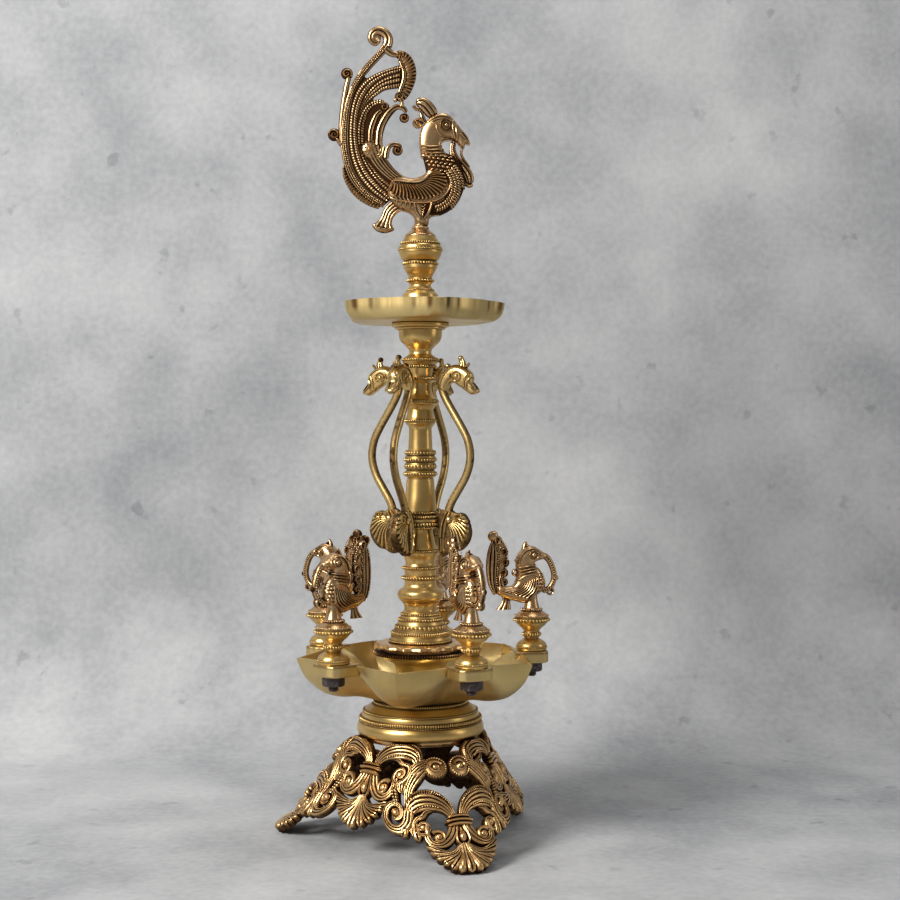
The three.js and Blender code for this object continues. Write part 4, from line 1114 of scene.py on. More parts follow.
def boss(centre, reach, crown, back=None, rings=(1, 0.92, 0.7, 0.4), count=18, squash=1.0, turn=0.0):
    """A domed button, round or stretched, with a closed back."""
    around = np.arange(count) * TURN / count
    tilt = math.radians(turn)
    shape = np.column_stack([np.cos(around), np.sin(around) * squash]) * reach
    shape = shape @ np.array([[math.cos(tilt), math.sin(tilt)], [-math.sin(tilt), math.cos(tilt)]])
    loops = []
    for share in rings:
        rise = crown * math.sqrt(max(1 - share ** 2, 0))
        loops.append(np.column_stack([shape * share + centre, np.full(count, rise)]))
    if back is None:
        under = [loop * (1, 1, -1) for loop in loops[:0:-1]]
    else:
        under = [loops[0] * (1, 1, 0) + (0, 0, back)]
    points, faces = sheet_of_rings(under + loops)
    groove = [0.0 if rise > crown * 0.3 else 0.75 for rise in points[:, 2]]
    return points, faces, groove


def mirrored(part):
    points, faces, groove = part
    return points * (-1, 1, 1), faces, groove


# %% The tree that strings beads on drawn lines, and joining their mesh to a piece
BEAD_INPUTS = (
    ("Spacing", "NodeSocketFloat"), ("Mark size", "NodeSocketVector"), ("Finish", "NodeSocketMaterial"),
)
string, given, made = tree_with("beaded_line", BEAD_INPUTS)
path = chain(string, "GeometryNodeMeshToCurve", Mesh=given.outputs["Geometry"])
spots = chain(
    string, "GeometryNodeResampleCurve", {"mode": "LENGTH"},
    Curve=path.outputs[0], Length=given.outputs["Spacing"],
)
finished(string, given, made, marks_on_points(string, given, spots.outputs[0], 7, 4))


def bead_mesh(lines, spacing, reach, finish):
    """Small round beads strung along lines of points given in millimetres."""
    points, edges = [], []
    for line in lines:
        first = len(points)
        points.extend((np.asarray(line) * MM).tolist())
        edges.extend((first + k, first + k + 1) for k in range(len(line) - 1))
    path_mesh = bpy.data.meshes.new("bead_lines")
    path_mesh.from_pydata(points, edges, [])
    return grown(path_mesh, string, {
        "Spacing": spacing * MM, "Mark size": (reach * MM,) * 3, "Finish": FINISHES[finish].material,
    })


def with_beads(mesh, *bead_meshes):
    """One mesh from a piece's mesh and its beads."""
    work = bmesh.new()
    for part in (mesh, *bead_meshes):
        work.from_mesh(part)
    work.to_mesh(mesh)
    work.free()
    return mesh

# %% [markdown]
# ## Tripod base
# The base is an openwork casting that flares from the ring to three feet and hangs down as an apron
# between them. The same scrollwork is used on feet and aprons: two big bows tied together, two lower
# scrolls, a bud and a palmette. The flat drawing is laid on the flaring surface by a rule: a
# distance down the surface and a distance across it.

# %% The flaring surface
FOOT_DRAWN = [(0, 1), (0.14, 0.88), (0.31, 0.71), (0.47, 0.5), (0.61, 0.33), (0.75, 0.19), (0.94, 0.05),
              (1, 0)]
APRON_DRAWN = [(0, 1), (0.18, 0.72), (0.47, 0.43), (1, 0)]
BASE_TOP = 84.0


def meridian(drawn, ring, reach, low):
    """A line down the base from the ring out to a reach, and its length."""
    line = [(mix(ring, reach, out), mix(low, BASE_TOP, up)) for out, up in drawn]
    line = evenly(smooth_line(line, 20), 200)
    length = np.linalg.norm(np.diff(line, axis=0), axis=1).sum()
    return line, length


FOOT_LINE, FOOT_LENGTH = meridian(FOOT_DRAWN, 50, 122, 0)
APRON_LINE, APRON_LENGTH = meridian(APRON_DRAWN, 50, 84, 19)
FIRST_FOOT = math.radians(18.75)


def at_length(line, length, along):
    """Radius and height a length down a meridian, which runs on straight past its ends."""
    share = along / length * (len(line) - 1)
    held = np.clip(share, 0, len(line) - 1)
    spot = [np.interp(held, np.arange(len(line)), column) for column in line.T]
    past = (share - held) * length / (len(line) - 1)
    way_out = (line[-1] - line[-4]) / np.linalg.norm(line[-1] - line[-4])
    way_in = (line[3] - line[0]) / np.linalg.norm(line[3] - line[0])
    way = np.where((share > held)[..., None], way_out, way_in)
    return spot[0] + past * way[..., 0], spot[1] + past * way[..., 1]


def base_surface(angle, along):
    """A point of the flaring surface, a foot's meridian there, an apron's, or a mix of them."""
    share = 0.5 + 0.5 * np.cos(3 * (angle - FIRST_FOOT))
    apron_r, apron_z = at_length(APRON_LINE, APRON_LENGTH, along)
    foot_r, foot_z = at_length(FOOT_LINE, FOOT_LENGTH, along)
    radius, height = mix(apron_r, foot_r, share), mix(apron_z, foot_z, share)
    return np.stack([radius * np.sin(angle), -radius * np.cos(angle), height], axis=-1)


def on_base(unit, points):
    """Lays flat points of one unit, across, along and raised, on the flaring surface."""
    across, along, raised = np.asarray(points, float).T
    middle = base_surface(np.full(len(along), unit), along)
    angle = unit + across / np.hypot(middle[:, 0], middle[:, 1])
    spot = base_surface(angle, along)
    round_way = base_surface(angle + 0.01, along) - base_surface(angle - 0.01, along)
    down_way = base_surface(angle, along + 0.5) - base_surface(angle, along - 0.5)
    out = np.cross(down_way, round_way)
    out /= np.linalg.norm(out, axis=1, keepdims=True)
    result = spot + out * raised[:, None]
    result[:, 2] = np.clip(result[:, 2], 0.0, BASE_TOP)
    return result


print("meridians:", round(FOOT_LENGTH, 1), round(APRON_LENGTH, 1), "mm")

# %% Drawing of one unit's right half, from the middle of its tie, down positive
BACK = -4.6


def rails(*pairs, count):
    """Two edges from pairs of facing points."""
    return tuple(spread(edge, count) for edge in zip(*pairs))


def bow():
    """The big bow over the opening, and the volute it winds into."""
    broad = rails(
        ((0.8, -3.2), (7.4, -3.0)), ((2.2, -9.5), (9.2, -5.6)), ((5.2, -16.2), (12.8, -7.8)),
        ((10.6, -22), (16.8, -8.8)), ((18, -25.8), (20.8, -8.8)), ((26.4, -26), (25, -8.6)),
        ((33.4, -22.8), (29.4, -8)), ((38.2, -17), (33.2, -6.2)), ((40.4, -9), (35.2, -3.4)),
        ((40.4, -1), (36, 0.6)), ((38.6, 6.6), (34.4, 4.8)), ((35.4, 13.6), (30.6, 9.4)), count=50)
    yield ribbon(broad, 5, 2.2, 1.5, BACK)
    left, right = (evenly(edge, 60) for edge in broad)
    rope = slice(8, 50)
    yield ribbon((mix(left, right, 0.02)[rope], mix(left, right, 0.2)[rope]), 1, 2.9, 0.9, BACK,
                 notch=(1.9, 0.8))
    inner = np.vstack([[(19, -8.6), (23, -8.2)], spiral((27.8, 4.0), -95, 8.2, 1.7, 38, 1.2)])
    widths = np.linspace(4.6, 2.2, 44) * np.sqrt(np.clip(np.linspace(0.02, 8, 44), 0, 1))
    yield ribbon(edges_of(evenly(smooth_line(inner, 2), 44), widths), 2, 2.4, 1.0, BACK)
    yield boss((27.8, 4.2), 2.6, 3.0, BACK)


def lower_scroll():
    """The scroll below the tie, with two strands and a button."""
    broad = rails(
        ((0.8, 3.4), (8.4, 3.4)), ((1.9, 9), (9.8, 5.6)), ((5.4, 15), (11.6, 8.8)),
        ((11.4, 19.8), (14.6, 12.8)), ((18.6, 21.4), (18, 15.6)), ((25.2, 19), (21.4, 14.8)),
        ((28.8, 13), (23, 11.4)), ((27, 6.2), (22.2, 8)), count=34)
    yield ribbon(broad, 3, 2.0, 1.3, BACK)
    yield coil((17.6, 12.4), -35, 5.4, -1.3, 30, 1.4, (4.0, 2.2), 1, 3.0, 1.0, BACK)
    yield boss((17.6, 12.4), 2.8, 3.3, BACK)


def petal(root, tip, widths, ridges, lift, cut, bend=0.0):
    """A ribbon that broadens from its root to a round tip, and bends to one side."""
    root, tip = np.array(root, float), np.array(tip, float)
    way = tip - root
    side = np.array([way[1], -way[0]])
    middle = [root, root + way * 0.35 - side * bend, root + way * 0.7 - side * bend * 0.7, tip]
    return strand(middle, widths, 22, 1, ridges, lift, cut, BACK)


def palmette(middle, rows):
    """A fan of petals; each row a tip, a width at the tip, a number of ridges and a bend."""
    yield petal((0, 18), *middle, 3.2, 1.9)
    for across, along, width, ridges, bend in rows:
        widths = (1.8, 3.2, width * 0.9, width)
        lift = 3.2 if ridges == 1 else 2.6
        part = petal((1.0 + across * 0.05, 18.6), (across, along), widths, ridges, lift, 1.7, bend)
        yield part
        yield mirrored(part)


FOOT_PALMETTE = ((0, 43.1), (1.8, 3.8, 7.6, 8.2), 2), (
    (8.2, 42.3, 8.6, 1, 0.03), (14.4, 39.6, 6.8, 2, 0.09), (19.4, 34.8, 6.4, 2, 0.14),
    (23.6, 29.4, 6.0, 2, 0.18), (26.8, 23.6, 5.6, 2, 0.22), (28.6, 18, 4.8, 2, 0.26))
APRON_PALMETTE = ((0, 51.0), (1.8, 4.2, 8.8, 9.4), 2), (
    (9.6, 47.4, 8.0, 2, 0.05), (16.4, 42.2, 7.2, 2, 0.10), (21, 36, 6.6, 2, 0.14),
    (24.4, 29.6, 6.2, 2, 0.18), (27, 23.4, 5.8, 2, 0.22))


def tie():
    """The ribbon that ties the bows: three bands over a cushion."""
    for row, reach in ((-3.1, 8.6), (0, 11), (3.1, 9.6)):
        line = [(-reach, row + 1.4), (-5, row + 0.3), (0, row), (5, row + 0.3), (reach, row + 1.4)]
        yield strand(line, (3.0, 3.4, 3.6, 3.4, 3.0), 20, 2, 1, 4.2, 1.0, BACK)


def bud():
    """The drop that hangs from the tie, between two thin leaves."""
    yield strand([(0, 4), (0, 9), (0, 13), (0, 17.4)], (1.4, 3.0, 6.4, 5.2), 16, 1, 1, 3.8, 0.8, BACK)
    for side in (-1, 1):
        yield strand([(side * 2.6, 4), (side * 4, 10), (side * 4.8, 16), (side * 2.4, 19.4)],
                     (2.0, 2.4, 2.6, 1.8), 14, 1, 1, 2.4, 1.0, BACK)


half = [*bow(), *lower_scroll()]
UNIT = [*half, *(mirrored(part) for part in half), *tie(), *bud()]
FOOT_UNIT = UNIT + list(palmette(*FOOT_PALMETTE))
APRON_UNIT = UNIT + list(palmette(*APRON_PALMETTE))
print("one foot unit:", sum(len(part[1]) for part in FOOT_UNIT), "faces")


# %% What joins a foot's unit to the aprons beside it, across and along the foot's own surface
def links():
    """A volute with its buttons and leaves, the right half of what fills the gap."""
    volute = [(36.6, 55), (39.4, 63.6), (46.2, 68.6), (54, 66), (57.6, 58.4), (54.6, 50.6), (48, 47.6),
              (42.8, 51.4), (43.6, 57.6), (48.4, 59.8), (51, 56)]
    yield strand(volute, (9, 9, 8.4, 7.4, 6.6, 6, 5.4, 4.8, 4.0, 3.2, 2.4), 70, 1, 3, 2.8, 1.5, BACK)
    yield boss((47.8, 54.8), 3.2, 3.4, BACK)
    stem = [(20, 22), (27.6, 29), (33.4, 37), (36, 46), (36.6, 56)]
    yield strand(stem, (9, 10, 8, 6.4, 8), 30, 0, 4, 2.2, 1.5, BACK)
    yield strand([(36, 30), (38.4, 34.6), (40.6, 40)], (13, 13, 8), 20, 2, 5, 2.0, 1.4, BACK)
    ticked = stroke([(45.4, 33), (46.6, 39), (46.4, 45), (46, 50)], (8, 7, 5.6, 5), 28, False, True)
    yield ribbon(ticked, 2, 2.6, 1.4, BACK, notch=(2.2, 0.7))
    yield strand([(40, 64), (42.6, 69.6), (44.8, 74.4)], (5, 7, 7.2), 14, 1, 2, 2.8, 1.5, BACK)
    yield strand([(33, 65), (33.6, 72), (33, 78)], (5.4, 7.2, 7.4), 14, 1, 2, 3.0, 1.5, BACK)
    yield strand([(24.6, 66), (25.4, 71), (25, 75.4)], (4.4, 5.6, 5.6), 12, 1, 1, 2.6, 1.3, BACK)
    yield boss((9.9, 21.4), 9.4, 1.2, BACK)
    yield coil((9.9, 21.4), 0, 8.0, 1.0, 48, 8.0, (2.4, 2.4), 1, 2.6, 0.8, BACK, notch=(1.9, 0.9))
    yield coil((9.9, 21.4), 200, 5.2, 1.3, 32, 1.6, (3.0, 2.2), 1, 3.2, 1.2, BACK)
    yield boss((9.9, 21.4), 2.6, 3.8, BACK)
    yield strand([(15, 17), (22, 20), (29, 25)], (8, 10, 8), 18, 0, 5, 2.0, 1.4, BACK)


half = list(links())
LINKS = half + [mirrored(part) for part in half]


# %% All units on the surface, the plate under the ring, and beads along the ridges
def laid(unit, tie_at, squeeze, stretch):
    """Where a flat drawing of a unit ends up; its bows may be squeezed and its scrolls stretched."""
    def place(points):
        points = np.asarray(points, float).copy()
        along = points[:, 1]
        below = along
        if stretch != 1:
            below = np.interp(along, [0, 20, 51, 60], [0, 20 * stretch, 49.4, 58])
        points[:, 1] = np.where(along < 0, along * squeeze, below) + tie_at
        return on_base(unit, points)
    return place


BOW_BEADS = [(3.6, -11), (9, -18.4), (17.6, -22), (26, -21.8), (32, -18.4), (36.2, -12.4), (37.8, -4)]
ROPE_BEADS = [(14, -10.4), (20.6, -12.2), (27, -11.2), (32.4, -7.6)]
base = Form()
fine_lines, rope_lines = [], []
for k in range(3):
    foot = FIRST_FOOT + k * TURN / 3
    apron = foot + TURN / 6
    for unit, tie_at, squeeze, stretch, parts in (
            (foot, 64, 1, 1, FOOT_UNIT), (apron, 20.4, 0.84, 1.22, APRON_UNIT)):
        place = laid(unit, tie_at, squeeze, stretch)
        for points, faces, groove in parts:
            base.add(place(points), faces, groove)
        for side in (-1, 1):
            for store, line, raised in ((fine_lines, BOW_BEADS, 2.0), (rope_lines, ROPE_BEADS, 2.2)):
                store.append(place([(side * s, t, raised) for s, t in spread(line, 60)]))
    for points, faces, groove in LINKS:
        base.add(on_base(foot, points), faces, groove)
base.add(*waved_disc([(0.4, 80.5), (0, 80.9), (0, BASE_TOP)], round_edge(47), 96))
base_mesh = base.mesh("tripod_base", "antique_brass", CAST_CREASE)
with_beads(base_mesh, bead_mesh(fine_lines, 1.7, 0.62, "antique_brass"),
           bead_mesh(rope_lines, 1.9, 0.8, "antique_brass"))
piece("openwork_tripod", base_mesh, "stand", "antique_brass", "tripod_base")

# %% [markdown]
# ## Cushioned figures
# The swans, the birds and the peacock are flat castings whose faces swell like a cushion. Sculpting
# would do it by hand; here each is drawn as an outline, filled with points, and raised by how far a
# point lies from the outline. Ribbons and buttons are then draped on that height, on both faces.

# %% A cushion from an outline
class Cushion:
    def __init__(self, outline, edge, crown, reach):
        self.outline = smooth_line([*outline, outline[0]], 4)[:-1]
        self.edge, self.crown, self.reach = edge, crown, reach

    def distance(self, points):
        """Distance to the outline, negative outside."""
        start, end = self.outline, np.roll(self.outline, -1, axis=0)
        way = end - start
        points = np.asarray(points, float)
        best = np.full(len(points), 1e9)
        inside = np.zeros(len(points), bool)
        for (x0, y0), (dx, dy) in zip(start, way):
            share = np.clip(((points[:, 0] - x0) * dx + (points[:, 1] - y0) * dy)
                            / max(dx * dx + dy * dy, 1e-9), 0, 1)
            gap = np.hypot(points[:, 0] - x0 - share * dx, points[:, 1] - y0 - share * dy)
            best = np.minimum(best, gap)
            crosses = (y0 > points[:, 1]) != (y0 + dy > points[:, 1])
            if abs(dy) > 1e-9:
                inside ^= crosses & (points[:, 0] < x0 + (points[:, 1] - y0) * dx / dy)
        return np.where(inside, best, -best)

    def height(self, points):
        """Half the cushion's thickness: its edge, and a quarter round within reach of it."""
        near = np.clip(self.distance(points) / self.reach, 0, 1)
        return self.edge + self.crown * np.sqrt(1 - (1 - near) ** 2)

    def part(self, pitch, shade=None):
        """The closed cushion as points, faces and groove depths, which shade gives from points."""
        low, high = self.outline.min(axis=0), self.outline.max(axis=0)
        grid = []
        for row, y in enumerate(np.arange(low[1], high[1], pitch * 0.87)):
            for x in np.arange(low[0] + (row % 2) * pitch / 2, high[0], pitch):
                grid.append((x, y))
        grid = np.array(grid)
        grid = grid[self.distance(grid) > pitch * 0.45]
        count = len(self.outline)
        flat = [Vector(p) for p in np.vstack([self.outline, grid])]
        edges = [(k, (k + 1) % count) for k in range(count)]
        points, _, triangles, _, _, _ = delaunay_2d_cdt(flat, edges, [], 1, 1e-4)
        points = np.array([tuple(p) for p in points])
        groove = np.zeros(len(points)) if shade is None else shade(points)
        total = len(points)
        front = np.column_stack([points, self.height(points)])
        both = np.vstack([front, front * (1, 1, -1)])
        faces = [tuple(t) for t in triangles]
        faces += [tuple(total + k for k in reversed(t)) for t in triangles]
        used = {}
        for a, b, c in triangles:
            for edge in ((a, b), (b, c), (c, a)):
                used[edge] = used.get(edge, 0) + 1
        for a, b in used:
            if (b, a) not in used:
                faces.append((b, a, total + a, total + b))
        return both, faces, np.concatenate([groove, groove])


def draped(cushion, part, sink):
    """A front part lifted on a cushion's height, and its twin on the back."""
    points, faces, groove = part
    lifted = points.copy()
    lifted[:, 2] += cushion.height(points[:, :2]) - sink
    twin = lifted * (1, 1, -1)
    return [(lifted, faces, groove), (twin, faces, groove)]


def even_shade(depth):
    """The same groove depth all over a cushion."""
    return lambda points: np.full(len(points), depth)


def curl(centre, start, reach, turns, width=2.1, height=3.1):
    """A rolled end: a low dark button with a ridge winding in on it."""
    count = 18 + int(abs(turns) * 14)
    points, faces, groove = boss(centre, reach + width * 0.4, height * 0.42)
    yield points, faces, [0.9] * len(groove)
    yield coil(centre, start, reach, turns, count, 0.5, (width, width * 0.7), 1, height, 1.1)


LOW_DOME = (1, 0.75, 0.35)


def pivot(line, foot, top, roof, shoulder, sides, centre=(0, 0)):
    """A turned foot along a line of radius and height pairs, bored from below up to the roof."""
    loop = [(2.8, foot), *line, (2.0, top), (2.0, roof), (2.8, shoulder)]
    return sheet_of_rings([ring_at(r, z, centre, sides) for r, z in loop], closed_along=True)


def upright(points):
    """Flat points across, up and raised, stood up with their raised side towards the front."""
    points = np.asarray(points, float)
    return np.column_stack([points[:, 0], -points[:, 2], points[:, 1]])


def on_both_faces(*lines):
    """Upright lines for beads, each flat line at its lift behind and in front of a figure."""
    for flat, lift in lines:
        for side in (-1, 1):
            yield upright(np.column_stack([flat, np.full(len(flat), side * lift)]))

# %% [markdown]
# ## Swan arms
# Four bent bars rise from the collar, bow outwards and end in small swan heads with a raised eye, a
# ringed bill and a curled crest. A fan-shaped leaf braces each at its foot. One arm is drawn, then
# turned to its four places.

# %% One arm, drawn outwards from the lamp's axis and up from the ground
ARM_LINE = [
    (24.6, 258), (25.6, 263), (28.4, 269.6), (34.4, 279), (40.4, 289), (43.8, 299), (44.4, 308),
    (42, 318.6), (36.6, 328.6), (30, 339), (24, 348.6), (20.4, 356), (19.2, 362), (20.4, 367.4),
    (23.4, 371.4),
]
HEAD_LINE = [
    (16.6, 362), (18, 366), (20.2, 370), (23.4, 373.5), (26.7, 376), (31, 377.5), (34.5, 377.4),
    (37.4, 376.6), (40.4, 375.2), (43.6, 373), (46.2, 370), (46.7, 366.4), (46.8, 363.4), (49, 360.5),
    (51.4, 357.4), (51.8, 355.6), (49, 354.3), (46.4, 353.8), (42.3, 356), (37.9, 359), (34.5, 361),
    (31.8, 363), (29, 363.4), (26.7, 362), (24.6, 359.6), (22.4, 356.4), (18.4, 358),
]
BRACKET_LINE = [
    (18, 247), (17.4, 258), (21.7, 262.4), (27, 262.6), (31, 260.4), (34.6, 260), (38.6, 260),
    (41.8, 256.6), (43.8, 251.4), (45.2, 245.4), (43.8, 239), (40.4, 234), (36, 230.6), (31, 229.6),
    (26.6, 227.2), (21.8, 226.6), (18.4, 230), (19, 238),
]


def bracket_parts():
    """The leaf under a bar: strands that wrap the bar's foot, a curl, and ribs that fan from it."""
    bracket = Cushion(BRACKET_LINE, 2.5, 0.9, 5)
    yield bracket.part(1.5, even_shade(0.6))
    heart = (26.4, 255)
    for k, reach in enumerate((15.2, 17.2, 18.8, 20.4, 21.4, 22.4, 23.6, 25.2, 26.4)):
        turn = math.radians(6 - 11.5 * k)
        rib = [(heart[0] + far * math.cos(way), heart[1] + far * math.sin(way))
               for far, way in ((3, turn), (reach * 0.5, turn + 0.2), (reach, turn))]
        yield from draped(bracket, strand(rib, (1.2, 2.8, 4.1), 18, 1, 1, 1.9, 1.3, -1.5), 0.5)
    for shift in (0, 3.2):
        line = [(19.4 + shift, 240), (20.4 + shift, 248), (22.2 + shift, 255), (25.6 + shift, 262)]
        yield from draped(bracket, strand(line, (2.2, 3.2, 3.2, 2.4), 24, 2, 1, 2.1, 1.1, -1.5), 0.2)
    for k in range(2):
        line = [(20 + 2.6 * k, 240), (20.4 + 1.6 * k, 234), (20.6 + 2.4 * k, 229)]
        yield from draped(bracket, strand(line, (2.4, 3, 3.2), 14, 1, 1, 1.8, 1.1, -1.5), 0.4)
    rolled = coil((36.4, 256), 150, 3.9, -1.4, 36, 0.9, (2.6, 1.8), 1, 2.4, 1.0, -1.5)
    yield from draped(bracket, rolled, 0.3)
    yield from draped(bracket, boss((27, 254.6), 3.0, 2.2, -1.5), 0.1)


def swan_head_parts():
    """The head and bill, the lines and the ringed eye on them, and the crest."""
    head = Cushion(HEAD_LINE, 2.0, 2.7, 5)
    yield head.part(1.2)
    for line, widths in (
            ([(44.8, 371.8), (41.8, 366), (40.6, 358.8)], (2.2, 2.8, 2.2)),
            ([(46.4, 367.6), (44, 363.4), (43.2, 357)], (1.6, 2.0, 1.6)),
            ([(18.8, 361.6), (21.8, 368), (26.4, 373.2), (32, 375.4), (38, 374.6), (43, 371.6),
              (45.2, 368.6)], (1.8, 2.4, 2.4, 2.4, 2.4, 2.4, 2.0)),
            ([(22.6, 359.4), (25.6, 364.6), (28.4, 367), (29.4, 371)], (1.4, 2.0, 2.0, 1.6)),
            ([(44, 361.4), (47.4, 358.6), (50.6, 356)], (1.4, 1.6, 1)),
            ([(46.6, 363.2), (48.8, 360.4), (51, 357.4)], (1.2, 1.6, 1))):
        yield from draped(head, strand(line, widths, 30, 2, 1, 1.4, 0.9, -1.2), 0.15)
    ring = coil((34.5, 368.2), 20, 3.7, 1.0, 24, 3.7, (1.5, 1.5), 1, 1.3, 0.7, -1)
    yield from draped(head, ring, 0.2)
    yield from draped(head, boss((34.5, 368.2), 1.8, 1.8, -1), 0.1)
    crest = [(36.4, 373), (37.4, 377.6), (36.8, 381), (34.8, 383.4)]
    yield strand(crest, (9, 7.6, 5, 3.2), 26, 1, 3, 2.8, 1.3)
    yield boss((36.2, 382.6), 2.1, 2.6)
    yield strand([(40, 375.4), (42.6, 377), (43.6, 379)], (3, 2.4, 1.8), 14, 1, 1, 2.2, 0.8)
    yield boss((24.8, 376.6), 2.1, 2.6)
    for step in range(4):
        yield boss((17.2 + step * 1.6, 364.0 + step * 2.9), 1.15, 2.5)


def swan_arm_parts():
    """The bent bar with the leaf at its foot and the head at its end."""
    yield strand(ARM_LINE, (6.6, 6.6, 6.4, 6.4, 6.4, 6.4, 6.4, 6.8), 110, 1, 1, 3.2, 0.25, per_ridge=10,
                 edge_drop=0.1)
    yield from bracket_parts()
    yield from swan_head_parts()


TENON = [(x, y, z) for x in (9.9, 19)
         for y, z in ((-1.8, 249.6), (1.8, 249.6), (1.8, 255.4), (-1.8, 255.4))]
TENON_FACES = [(0, 1, 2, 3), (7, 6, 5, 4), (0, 4, 5, 1), (1, 5, 6, 2), (2, 6, 7, 3), (3, 7, 4, 0)]
arm_parts = list(swan_arm_parts())
for k in range(1, 5):
    angle = -28 + 90 * (k - 1)
    arm = Form()
    for points, faces, groove in arm_parts:
        arm.add(placed(upright(points), angle), faces, groove)
    arm.add(placed(TENON, angle), TENON_FACES, [0.6] * len(TENON))
    node = f"swan_arm_{k}"
    mesh = arm.mesh(node, "pale_cast_brass", CAST_CREASE)
    piece(node + "_cast", mesh, "stand", "antique_brass", node)

# %% [markdown]
# ## The five small birds
# Each bird stands on a trumpet-shaped post, holds a beaded garland from its beak to its breast and
# carries a tall ribbed plume. It can be turned on its stud, so each is a body of its own. One bird is
# drawn, outwards from its own axis and up from the ear it stands on.

# %% One bird
BIRD_BODY = [
    (-29, 46), (-28, 52.4), (-22, 51.8), (-16, 52.6), (-13.4, 56.6), (-12.6, 62), (-13.2, 70),
    (-12.2, 76), (-9, 80.6), (-4, 84), (0.6, 84.2), (5, 82), (9, 79.4), (12.4, 77.2), (11, 74.4),
    (6.8, 73), (2.6, 71.2), (2.2, 68.6), (5.6, 66), (7.8, 63), (10.2, 58), (11, 53.4), (9.6, 48.4),
    (5, 45.6), (1, 43), (-2, 39.4), (-8, 38.4), (-14, 40), (-21, 41.4),
]
PLUME_FRONT = [(-24, 47), (-22, 57), (-19.4, 66), (-18, 76), (-19.2, 83.6), (-23.4, 89.6), (-29, 93.2)]
PLUME_REAR = [(-31.6, 45), (-35.6, 53), (-37.4, 63), (-37.2, 74), (-35.6, 82), (-33.8, 86.4),
              (-31.8, 88.8)]
GARLAND = [(6, 76.6), (11.4, 75.4), (14.8, 71.6), (17.2, 66), (18.4, 60.6), (18, 56), (15.8, 51.4),
           (12, 48.4), (8, 48.6)]


